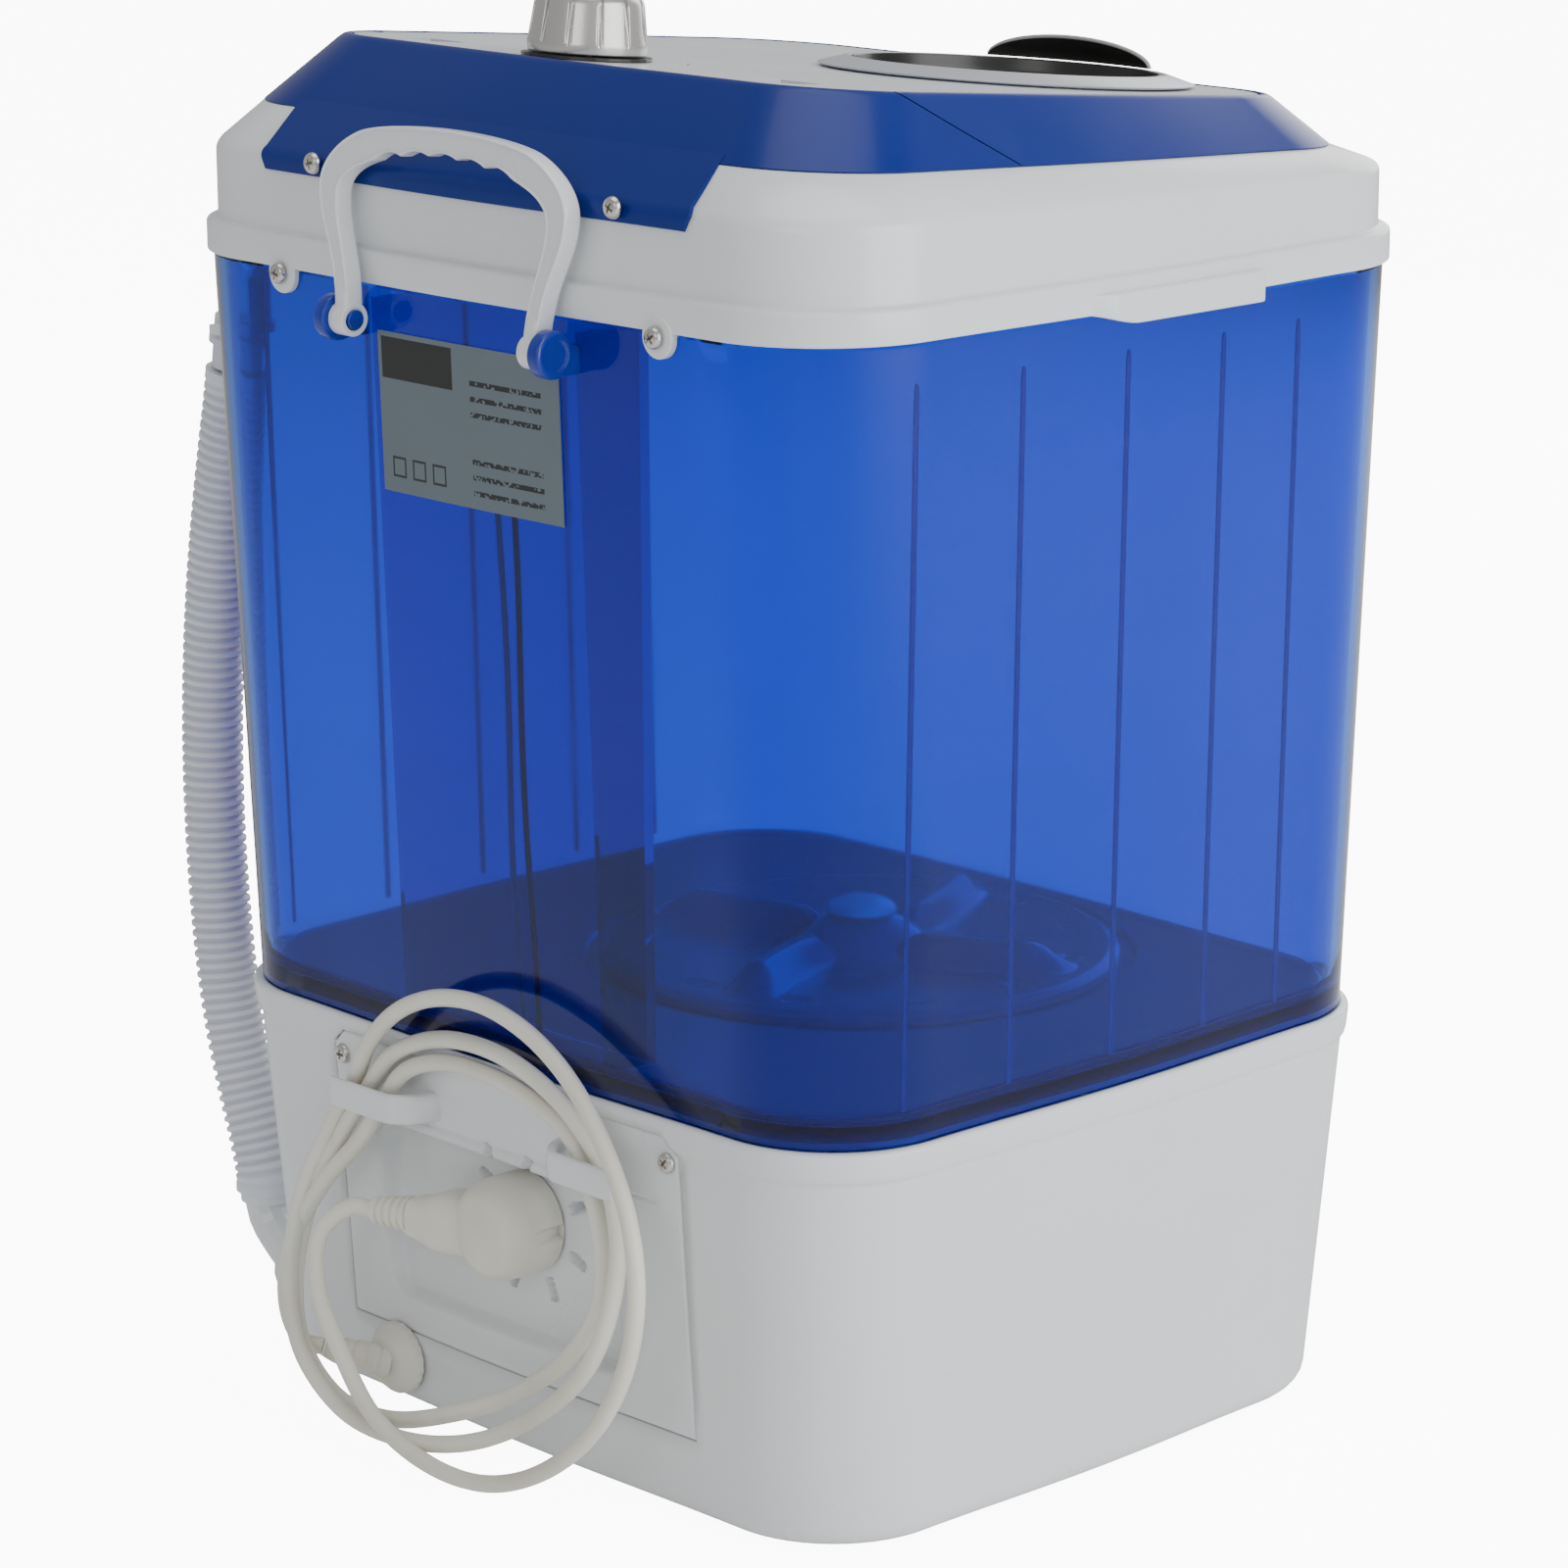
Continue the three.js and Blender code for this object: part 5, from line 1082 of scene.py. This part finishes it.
def make_inserts():
    """The two white inserts, parted along the joint."""
    edge = outline(DECK[0] - 3.2, DECK[1] - 3.2, DECK_SHIFT)
    notch = [side * HINGE_X + end * 10.6 for side in (-1, 1) for end in (-1, 1)]
    behind = edge[edge[:, 1] > SEAM_TOP_Y + 0.3]
    x = joint_stations(147.0, 0.0, notch + [value + 0.01 for value in notch])
    x = x[np.abs(x) < DECK[0] - 4.1]
    y = np.minimum(joint_line(x, float(deck_z(SEAM_TOP_Y)) - INSERT_DROP, 0.0, 0.0), SEAM_TOP_Y)
    inside = np.abs(np.abs(x) - HINGE_X) < 10.6
    console = np.vstack([behind, np.column_stack([x, np.where(inside, 105.0, y)])])
    make_plate("console_insert", [console], "cabinet", "console_deck")

    ahead = edge[edge[:, 1] < SEAM_TOP_Y - SEAM_GAP - 0.9]
    # the outline starts on the right side; its last part, from the left side on, comes first here
    turn = np.argmax(np.linalg.norm(np.diff(ahead, axis=0), axis=1)) + 1
    ahead = np.roll(ahead, -turn, axis=0)
    x = joint_stations(147.0, SEAM_GAP)
    x = x[np.abs(x) < DECK[0] - 4.1][::-1]
    y = joint_line(x, float(deck_z(SEAM_TOP_Y)) - INSERT_DROP, SEAM_GAP, SEAM_GAP)
    angle = around(120)
    hole = np.column_stack([RING[0] + 65 * np.cos(angle), RING[1] + 65 * np.sin(angle)])
    make_plate("lid_insert", [np.vstack([ahead, np.column_stack([x, y])]), hole], "lid", "lid_deck")


def make_lid_window():
    """The round window of the lid: a lacquered ring, a smoked dish and a thumb hood, which is the
    part of a low dome z = h sqrt(1 - (r/R)^2) beyond a chord."""
    inner = RING_RADIUS - RING_WIDTH
    ring = soften([(inner, -7), (RING_RADIUS - 10, -7), (RING_RADIUS - 10, 0.3), (RING_RADIUS - 1.2, 0.3),
                   (RING_RADIUS, 1.1), (inner + 1.5, 4.5), (inner, 4.1)],
                  [0.3, 0.3, 0.3, 0.3, 0.5, 0.6, 0.3])
    add_piece("ring_band", [closed(on_deck(turned(ring, 192), RING), wrap_rows=True)], "ring", "lid",
              "lid_ring", 50)
    r = inner - 0.3
    dish = soften([(0, -14), (r - 14, -12), (r, -5), (r, 4.2), (r - 1.4, 4.2), (r - 2.2, -3),
                   (r - 15, -9.5), (0, -11.5)], [0, 3, 2, 0.4, 0.4, 4, 6, 0], False, 8)
    rings = turned(np.vstack([dish[:-1], [(4, -11.45)]]), 144)
    add_piece("dish", [closed(on_deck(rings, RING))], "smoked", "lid", "lid_window", 50)

    radius, mouth, rise = inner + 2.5, 51.4, 18.0
    reach = np.arccos(mouth / radius) * 0.995
    angle = np.linspace(-reach, reach, 120)[:, None]
    share = (1 - (1 - np.linspace(0, 1, 24)) ** 2)[None, :]
    distance = mouth / np.cos(angle) * (1 - share) + radius * share
    height = rise * np.sqrt(np.clip(1 - (distance / radius) ** 2, 0, 1))
    turn = angle - radians(75)
    dome = np.stack([distance * np.cos(turn), distance * np.sin(turn), height + 0 * angle], -1)
    points = on_deck(dome, RING, 4.8).reshape(-1, 3)
    faces = grid_faces(120, 24, False, False).tolist()
    hood = add_mesh("thumb_hood", points, faces, ["smoked", "rim"], "lid", "lid_grip", 60)
    thicken(hood, 1.6, 1)


def make_knob():
    """The timer knob: a tapered drum with twelve narrow grooves, where cos(12 a) is near 1. Each
    groove is a wedge that closes towards the foot."""
    profile = soften([(12, 1.7), (22.6, 1.7), (23, 5), (20.8, 21.8), (18.8, 24), (16.4, 24), (16, 22.5),
                      (6, 22.5)], [0, 0.5, 1, 2.0, 1.6, 0.3, 0.2, 0], False, 5)
    rings = turned(profile, 720)
    angle = np.arctan2(rings[..., 1], rings[..., 0])
    radius = np.hypot(rings[..., 0], rings[..., 1])
    wedge = 0.97 - 0.17 * smooth_step(rings[..., 2], 5.0, 21.0)
    groove = smooth_step(np.cos(12 * angle), wedge, wedge + 0.03) * 1.6 * smooth_step(rings[..., 2], 4.5, 8.0)
    scale = 1 - groove * smooth_step(radius, 17.2, 19.5) / radius
    rings[..., :2] *= scale[..., None]
    add_piece("knob_drum", [closed(on_deck(rings, KNOB))], "silver", "timer", "timer_knob", 45)
    cap = soften([(0, 22.7), (15.7, 22.7), (15.7, 23.7), (12, 24.1), (0, 24.4)], [0, 0.3, 0.4, 0.5, 0], False)
    rings = turned(np.vstack([cap[:-1], [(1, 24.4)]]), 96)
    add_piece("knob_badge", [closed(on_deck(rings, KNOB))], "blue", "timer", "knob_cap")


# ---- handle ----
def handle_edges():
    """The outer and inner edge lines of the handle, drawn about its pivot in x and z."""
    w, h = 70.8, 76.0
    outer = [bezier([(57.9, 0), (57.9, 27), (w, 34), (w, 50)], 18),
             bezier([(w, 50), (w, 60), (w - 12, h - 8), (w - 22, h - 4.5)], 16),
             bezier([(w - 22, h - 4.5), (w - 42, h + 1.5), (42 - w, h + 1.5), (22 - w, h - 4.5)], 70)]
    inner = [bezier([(50.6, 0), (50.6, 22), (w - 10, 34), (w - 11, 47)], 18),
             bezier([(w - 11, 47), (w - 11, 55), (w - 24, h - 17), (w - 31, h - 15)], 16)]
    span = (2 * w - 62) / 5
    end_z = lambda i: h - 15 + 4.5 * (1 - (i / 5 * 2 - 1) ** 2)
    for i in range(5):
        x = w - 31 - i * span
        peak = h - 10.5 + 3 * (1 - ((i + 0.5) / 5 * 2 - 1) ** 2)
        inner.append(bezier([(x, end_z(i)), (x - span / 2, peak), (x - span, end_z(i + 1))], 14))
    sides = []
    for edge in (outer, inner):
        half = np.vstack(edge[:2])
        middle = np.vstack(edge[2:])
        whole = np.vstack([half, middle, (half * [-1, 1])[::-1]])
        sides.append(np.column_stack([whole[:, 0], np.zeros(len(whole)), whole[:, 1]]))
    return sides


def make_handle():
    """The carrying handle: a bar between two edge lines with a sunk face, and two round eyes."""
    outer, inner = handle_edges()
    bar = between_edges(inner, outer, 9.0, (0, 1, 0), 0.38, 48)
    middle, v = (inner + outer) / 2, around(48)
    sunk = 1.1 * smooth_step(np.abs(np.sin(v)) - np.abs(np.cos(v)), 0.05, 0.35)
    ends = smooth_step(np.abs(outer[:, 2]), 10, 16)[:, None]
    bar[..., 1] -= np.sign(np.sin(v)) * sunk * ends * (middle[:, 2] > 0)[:, None]
    shapes = [closed(bar)]
    eye = soften([(4.2, -4.2), (6.5, -4.2), (6.5, 4.2), (4.2, 4.2)], 0.6)
    for side in (-1, 1):
        rings = stand(turned(eye, 48), (side * HANDLE_X, 0, 0), (1, 0, 0))
        shapes.append(closed(rings, wrap_rows=True))
    lean = np.array(Matrix.Rotation(HANDLE_LEAN, 3, "X"))
    shapes = [(points @ lean.T + [0, HANDLE_Y, HANDLE_Z], faces) for points, faces in shapes]
    add_piece("handle_bar", shapes, "white", "handle", "rear_handle", 40)


# ---- lead and hose ----
GLAND_FACE = FOOT[1] + (BASE_TOP[1] - FOOT[1]) * GLAND_Z / BASE_HEIGHT + CROWN
PLUG_FACE = FOOT[1] + (BASE_TOP[1] - FOOT[1]) * PLUG_Z / BASE_HEIGHT + CROWN - POCKET_DEPTH + 0.3


def along_gland(length):
    """A point on the axis along which the lead leaves its gland."""
    return (GLAND_X + 0.72 * length, GLAND_FACE + 7 + 0.66 * length, GLAND_Z + 0.2 * length)


def plug_tip(length):
    """A point on the axis of the plug's neck; 0 is where the lead enters it."""
    return (PLUG_X + 60 + 0.965 * length, PLUG_FACE + 29 + 0.26 * length, PLUG_Z - 4 - 0.05 * length)


def ribbed_sleeve(start, end, low, high, ribs, depth):
    """A tapered strain relief: radius from low to high less a cosine groove between ribs."""
    t = np.linspace(0, 1, ribs * 12 + 1)
    path = np.asarray(start) + t[:, None] * (np.asarray(end) - np.asarray(start))
    groove = np.clip(np.cos(t * ribs * 2 * pi), 0, 1) ** 0.7
    return closed(swept(path, low + (high - low) * t - depth * groove, 40, (0, 0, 1)))


def make_lead():
    """The mains lead: gland, three loops over the hooks, and the plug parked in its pocket."""
    bell = soften([(0, 0.3), (15, 0.3), (15, 3.4), (12.5, 6.2), (9.5, 9.4), (0, 9.4)],
                  [0, 0.4, 1.2, 2, 1.5, 0], False)
    rings = turned(bell, 96)
    angle = np.arctan2(rings[..., 1], rings[..., 0])
    rim = smooth_step(np.hypot(rings[..., 0], rings[..., 1]), 14.2, 15.0) * (0.5 + 0.5 * np.cos(20 * angle))
    rings[..., :2] *= (1 - 0.035 * rim)[..., None]
    shapes = [closed(stand(rings, (GLAND_X, GLAND_FACE, GLAND_Z), (0, 1, 0))),
              ribbed_sleeve(along_gland(-2), along_gland(26), 7.0, 4.6, 5, 0.7)]
    add_piece("gland_bell", shapes, "cream", replaces="cord_gland", crease=60)

    path = smooth_route(LEAD_ROUTE, 8)
    lead = add_piece("mains_lead", [closed(swept(path, CORD_RADIUS, 14))], "cream",
                     replaces="power_cord", crease=60)
    head = soften([(0, 0), (19.4, 0), (20.5, 1.4), (20.5, 19), (16.6, 27), (0, 27.6)],
                  [0, 0.6, 0.6, 4, 4, 0], False, 6)
    rings = turned(head, 120)
    angle = np.arctan2(rings[..., 1], rings[..., 0])
    side = (1 - smooth_step(np.abs(np.cos(angle)), 0.10, 0.17)) * (1 - smooth_step(rings[..., 2], 13, 14.5))
    rings[..., :2] *= (1 - 0.16 * side * (rings[..., 2] > 0.5))[..., None]
    t = np.linspace(0, 1, 24)[:, None]
    spine = np.asarray(plug_tip(-58)) + t * (np.asarray(plug_tip(-21)) - np.asarray(plug_tip(-58)))
    high = 3.0 + 9.6 * smooth_step(t, -0.12, 0.2) - 4.2 * smooth_step(t, 0.55, 1.0)
    deep = 3.0 + 7.8 * smooth_step(t, -0.12, 0.2) - 2.6 * smooth_step(t, 0.55, 1.0)
    neck = between_edges(spine - high * [0, 0, 1], spine + high * [0, 0, 1], 2, (0, 1, 0), 0.55, 40)
    neck[..., 1] = spine[:, 1:2] + (neck[..., 1] - spine[:, 1:2]) * deep
    shapes = [closed(stand(rings, (PLUG_X, PLUG_FACE, PLUG_Z), (0, 1, 0))), closed(neck),
              ribbed_sleeve(plug_tip(-22), plug_tip(1.5), 8.2, 5.2, 6, 1.5)]
    plug = add_piece("plug_head", shapes, "cream", replaces="plug_body", crease=50)


def make_hose():
    """The corrugated drain hose: radius R - d groove(s / pitch) along the route, with a plain cuff."""
    route = smooth_route(HOSE_ROUTE, 40)
    along = run_length(route)
    s = np.arange(0, along[-1], 0.5)
    path = np.stack([np.interp(s, along, route[:, k]) for k in range(3)], -1)
    wave = 0.5 + 0.5 * np.cos(s / 4.4 * 2 * pi)
    ends = smooth_step(s, 0, 14) * (1 - smooth_step(s, along[-1] - 14, along[-1]))
    groove = smooth_step(wave, 0.25, 0.9) * ends
    radius = HOSE_RADIUS - 0.1 - 1.4 * groove
    sides = 40
    # the groove mask also goes to the hose material, which paints shade into the grooves
    depth = np.concatenate([np.repeat(groove, sides), [0, 0]])
    hose = add_piece("hose_tube", [closed(swept(path, radius, sides))], "hose", replaces="drain_hose",
                     crease=70, attribute=depth)
    low, high = np.array([205.8, HOSE_Y, 405.9]), np.array([202.6, HOSE_Y, 427.0])
    t = np.linspace(0, 1, 40)
    band = 1.8 * smooth_step(t, 0.44, 0.48) * (1 - smooth_step(t, 0.62, 0.66))
    cuff_path = low + t[:, None] * (high - low)
    bore = low + np.array([1.0, 0.7])[:, None] * (high - low)
    outer = swept(cuff_path, 10.5 + band, 48)
    inner = swept(bore, 7.0, 48)
    cuff = add_piece("hose_end", [closed(np.concatenate([outer, inner]))], "cuff",
                     replaces="hose_cuff", crease=50)


LEAD_ROUTE = [
    along_gland(27), along_gland(31), along_gland(35), (104, 184, 37), (108, 182.5, 52), (105, 179, 72),
    (92, 173.5, 96), (73, 168.8, 118), (59, 168, 137), (46, 168, 151), (22, 168.2, 160),
    (-6, 168.3, 161), (-34, 168.2, 156), (-53, 168, 146), (-63, 168, 130), (-72, 170, 106),
    (-72, 172, 84), (-57, 175, 61), (-30, 178, 40), (4, 181, 23), (40, 186, 12), (70, 188, 14),
    (94, 186.5, 32), (104, 180, 58), (100, 173, 90), (86, 169, 116), (70, 168, 138), (54, 168, 156),
    (24, 168.5, 169), (-10, 168.5, 171), (-40, 168.5, 163), (-60, 168, 150), (-73, 168, 134),
    (-82, 171, 112), (-83, 176, 88), (-74, 181, 62), (-50, 186, 38), (-16, 190, 19),
    (20, 194, 11), (56, 196, 14), (84, 194.5, 32), (99, 187, 58), (103, 177, 88),
    (93, 171, 115), (80, 168, 137), (64, 171, 160), (42, 174, 178), (16, 175.5, 189),
    (-12, 176, 192), (-40, 176.5, 186), (-64, 177.5, 173), (-86, 180, 152), (-102, 183, 128),
    (-109, 186, 102), (-106, 189, 74), (-93, 193, 47), (-68, 197, 24), (-36, 199, 10),
    (0, 199, 8), (34, 198, 18), (58, 195, 38), (78, 190, 60), (80, 186, 80),
    plug_tip(12), plug_tip(5), plug_tip(0.5)]
HOSE_ROUTE = [
    (203, HOSE_Y, 52.6), (203, HOSE_Y, 60), (207, HOSE_Y, 75), (213.5, HOSE_Y, 94), (220, HOSE_Y, 116),
    (225, HOSE_Y, 140), (228.5, HOSE_Y, 168), (230.5, HOSE_Y, 198), (231, HOSE_Y, 228),
    (230, HOSE_Y, 258), (227.5, HOSE_Y, 288), (223.5, HOSE_Y, 318), (218.5, HOSE_Y, 346),
    (213, HOSE_Y, 372), (208.5, HOSE_Y, 392), (206, HOSE_Y, 405)]


CAD_FINISHES = {
    "white": ("base_plate", "capacitor", "drain_elbow", "hose_hook"),
    "duct": ("duct_cover",),
    "rubber": ("foot_front_left", "foot_front_right", "foot_rear_left", "foot_rear_right", "drive_belt",
               "shaft_seal"),
    "smoked": ("dial_plate",),
    "steel": ("hinge_pin_left", "hinge_pin_right", "timer_shaft", "drive_shaft", "motor_shaft",
              "plug_pin_upper", "plug_pin_lower"),
    "enamel": ("timer_body", "drive_pulley", "motor_pulley", "bearing_housing", "motor", "motor_bracket"),
}


def finish_cad_nodes():
    """The CAD nodes that still show take a finish by name, and smooth shading."""
    for finish, names in CAD_FINISHES.items():
        for name in names:
            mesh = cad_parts[name].data
            mesh.materials.clear()
            mesh.materials.append(MATERIALS[finish])
            mesh.shade_smooth()
            mesh.set_sharp_from_angle(angle=radians(35))


# ---- stage ----
def area_light(name, place_at, look_at, size, power):
    """A soft rectangular light, in metres and watts, that faces a point."""
    data = bpy.data.lights.new(name, "AREA")
    data.shape, data.size, data.size_y = "RECTANGLE", size[0], size[1]
    data.energy = power
    light = bpy.data.objects.new(name, data)
    light.location = place_at
    light.rotation_euler = (Vector(look_at) - Vector(place_at)).to_track_quat("-Z", "Y").to_euler()
    bpy.context.scene.collection.objects.link(light)
    return light


def glow(tree, socket, strength, seen):
    """Sets a strength that is different where the camera sees the surface itself."""
    path = tree.nodes.new("ShaderNodeLightPath")
    mix = new_node(tree, "ShaderNodeMapRange", To_Min=strength, To_Max=seen,
                   Value=path.outputs["Is Camera Ray"])
    feed(tree, socket, mix.outputs["Result"])


def make_stage(look):
    """A pale floor under a white sky, four soft lights, and the camera that sees the machine from
    behind and above its side."""
    floor_mesh = bpy.data.meshes.new("floor")
    far, low = 9, -0.0004
    floor_mesh.from_pydata([(-far, -far, low), (far, -far, low), (far, far, low), (-far, far, low)], [],
                           [(0, 1, 2, 3)])
    floor = bpy.data.objects.new("floor", floor_mesh)
    bpy.context.scene.collection.objects.link(floor)
    material, tree, shader = new_material("Floor")
    shader.inputs["Base Color"].default_value = (0.86, 0.86, 0.86, 1)
    shader.inputs["Roughness"].default_value = 0.9
    shader.inputs["Emission Color"].default_value = (1, 1, 1, 1)
    glow(tree, shader.inputs["Emission Strength"], look.floor_glow, look.floor_backdrop)
    floor_mesh.materials.append(material)
    lights = [area_light("side_light", (-2.5, -0.4, 1.1), (0, 0, 0.35), (2.2, 2.2), look.side_power),
              area_light("rear_light", (-1.2, 2.6, 1.5), (0, 0, 0.3), (1.2, 1.2), look.rear_power),
              area_light("front_light", (0.6, -2.4, 1.2), (0, 0, 0.4), (1.8, 1.6), look.front_power),
              area_light("top_light", (0, 0, 2.6), (0, 0, 0.5), (1.6, 1.6), look.top_power)]
    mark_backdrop(floor, *lights)
    world = bpy.data.worlds.new("Sky")
    world.use_nodes = True
    world.node_tree.nodes["Background"].inputs["Color"].default_value = (1, 1, 1, 1)
    glow(world.node_tree, world.node_tree.nodes["Background"].inputs["Strength"], look.sky, look.backdrop)
    bpy.context.scene.world = world

    data = bpy.data.cameras.new("camera")
    data.lens, data.sensor_width = look.lens, 36.0
    data.clip_start, data.clip_end = 0.1, 30.0
    camera = bpy.data.objects.new("camera", data)
    bpy.context.scene.collection.objects.link(camera)
    turn = (Matrix.Rotation(radians(226.553), 4, "Z") @ Matrix.Rotation(radians(90 - 14.335), 4, "X")
            @ Matrix.Rotation(radians(-0.2603), 4, "Z"))
    camera.matrix_world = Matrix.Translation(place((-1471.75, 1400.02, 764.87))) @ turn
    bpy.context.scene.camera = camera


# ---- add-on ----
def colour_property(name, description, default):
    return bpy.props.FloatVectorProperty(name=name, description=description, default=default, size=3,
                                         min=0.0, max=1.0, subtype="COLOR")


def number_property(name, description, default, **kind):
    return bpy.props.FloatProperty(name=name, description=description, default=default, min=0.0, **kind)


class WasherLook(bpy.types.PropertyGroup):
    """Colours and light of the machine."""
    white: colour_property("White", "White plastic of the base, frame and handle", (0.76, 0.79, 0.81))
    blue: colour_property("Blue", "Opaque blue plastic of the lid and console", (0.001, 0.016, 0.19))
    tub: colour_property("Tub", "Tint of the clear tub", (0.03, 0.19, 0.84))
    boss: colour_property("Bosses", "Tint of the thick handle bosses", (0.02, 0.06, 0.55))
    duct: colour_property("Duct", "Tint of the cover of the wire duct", (0.03, 0.11, 0.62))
    deep: colour_property("Tub floor", "Tint of the tub's floor and the pulsator", (0.004, 0.05, 0.45))
    silver: colour_property("Silver", "Lacquer of the timer knob", (0.58, 0.57, 0.55))
    cream: colour_property("Cream", "Plastic of the lead and plug", (0.80, 0.78, 0.69))
    soiling: number_property("Soiling", "Share of dull patches on the white plastic", 0.07, max=1.0)
    lens: number_property("Lens", "Focal length of the camera", 119.16, unit="CAMERA")
    sky: number_property("Sky", "Light from the white surroundings", 0.45)
    backdrop: number_property("Backdrop", "Brightness of the surroundings as seen", 16.0)
    floor_backdrop: number_property("Floor as seen", "Glow of the floor as seen", 10.0)
    floor_glow: number_property("Floor glow", "Light that the floor gives off", 0.1)
    side_power: number_property("Side light", "Power of the light on the left side", 62.0, unit="POWER")
    rear_power: number_property("Rear light", "Power of the light behind", 12.0, unit="POWER")
    front_power: number_property("Front light", "Power of the light in front", 25.0, unit="POWER")
    top_power: number_property("Top light", "Power of the light above", 18.0, unit="POWER")


class Step:
    """Shared by the operators that build pieces: runs their steps in order."""
    steps = ()

    def execute(self, context):
        for step in self.steps:
            step()
        return {"FINISHED"}


class WASHER_OT_materials(bpy.types.Operator):
    """Makes every finish and gives the CAD nodes that still show theirs"""
    bl_idname = "washer.materials"
    bl_label = "Materials"

    def execute(self, context):
        MATERIALS.update(make_materials(context.scene.washer_look))
        finish_cad_nodes()
        return {"FINISHED"}


class WASHER_OT_base(Step, bpy.types.Operator):
    """Builds the base, its rear panel with hooks, and the screws"""
    bl_idname = "washer.base"
    bl_label = "Base"
    steps = (make_base, make_panel, make_screws)


class WASHER_OT_tub(Step, bpy.types.Operator):
    """Builds the tub, the pulsator, the wires in the duct and the rating plate"""
    bl_idname = "washer.tub"
    bl_label = "Tub"
    steps = (make_tub, make_pulsator, make_wires, make_label)


class WASHER_OT_top(Step, bpy.types.Operator):
    """Builds the top frame, console, lid, inserts and round window"""
    bl_idname = "washer.top"
    bl_label = "Top"
    steps = (make_top_frame, make_console, make_inserts, make_lid_window)


class WASHER_OT_knob(Step, bpy.types.Operator):
    """Builds the timer knob"""
    bl_idname = "washer.knob"
    bl_label = "Knob"
    steps = (make_knob,)


class WASHER_OT_handle(Step, bpy.types.Operator):
    """Builds the carrying handle"""
    bl_idname = "washer.handle"
    bl_label = "Handle"
    steps = (make_handle,)


class WASHER_OT_cords(Step, bpy.types.Operator):
    """Builds the mains lead with its plug, and the drain hose"""
    bl_idname = "washer.cords"
    bl_label = "Lead and hose"
    steps = (make_lead, make_hose)


class WASHER_OT_stage(bpy.types.Operator):
    """Builds the floor, lights, surroundings and camera"""
    bl_idname = "washer.stage"
    bl_label = "Stage"

    def execute(self, context):
        make_stage(context.scene.washer_look)
        return {"FINISHED"}


STEPS = ("materials", "base", "tub", "top", "knob", "handle", "cords", "stage")


class WASHER_PT_panel(bpy.types.Panel):
    """Colours, sizes and build steps of the machine"""
    bl_label = "Washer"
    bl_idname = "WASHER_PT_panel"
    bl_space_type = "VIEW_3D"
    bl_region_type = "UI"
    bl_category = "Washer"

    def draw(self, context):
        look = context.scene.washer_look
        for name in WasherLook.__annotations__:
            self.layout.prop(look, name)
        for step in STEPS:
            self.layout.operator("washer." + step)


CLASSES = (WasherLook, WASHER_OT_materials, WASHER_OT_base, WASHER_OT_tub, WASHER_OT_top, WASHER_OT_knob,
           WASHER_OT_handle, WASHER_OT_cords, WASHER_OT_stage, WASHER_PT_panel)


def register():
    for one in CLASSES:
        bpy.utils.register_class(one)
    bpy.types.Scene.washer_look = bpy.props.PointerProperty(type=WasherLook)


def unregister():
    del bpy.types.Scene.washer_look
    for one in reversed(CLASSES):
        bpy.utils.unregister_class(one)


def corners():
    """The shown object's lowest and highest corner as plain lists."""
    return [list(corner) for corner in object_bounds()]


def main():
    """Registers the add-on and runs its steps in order."""
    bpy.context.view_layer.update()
    register()
    for step in STEPS:
        getattr(bpy.ops.washer, step)()


if __name__ == "__main__":
    main()
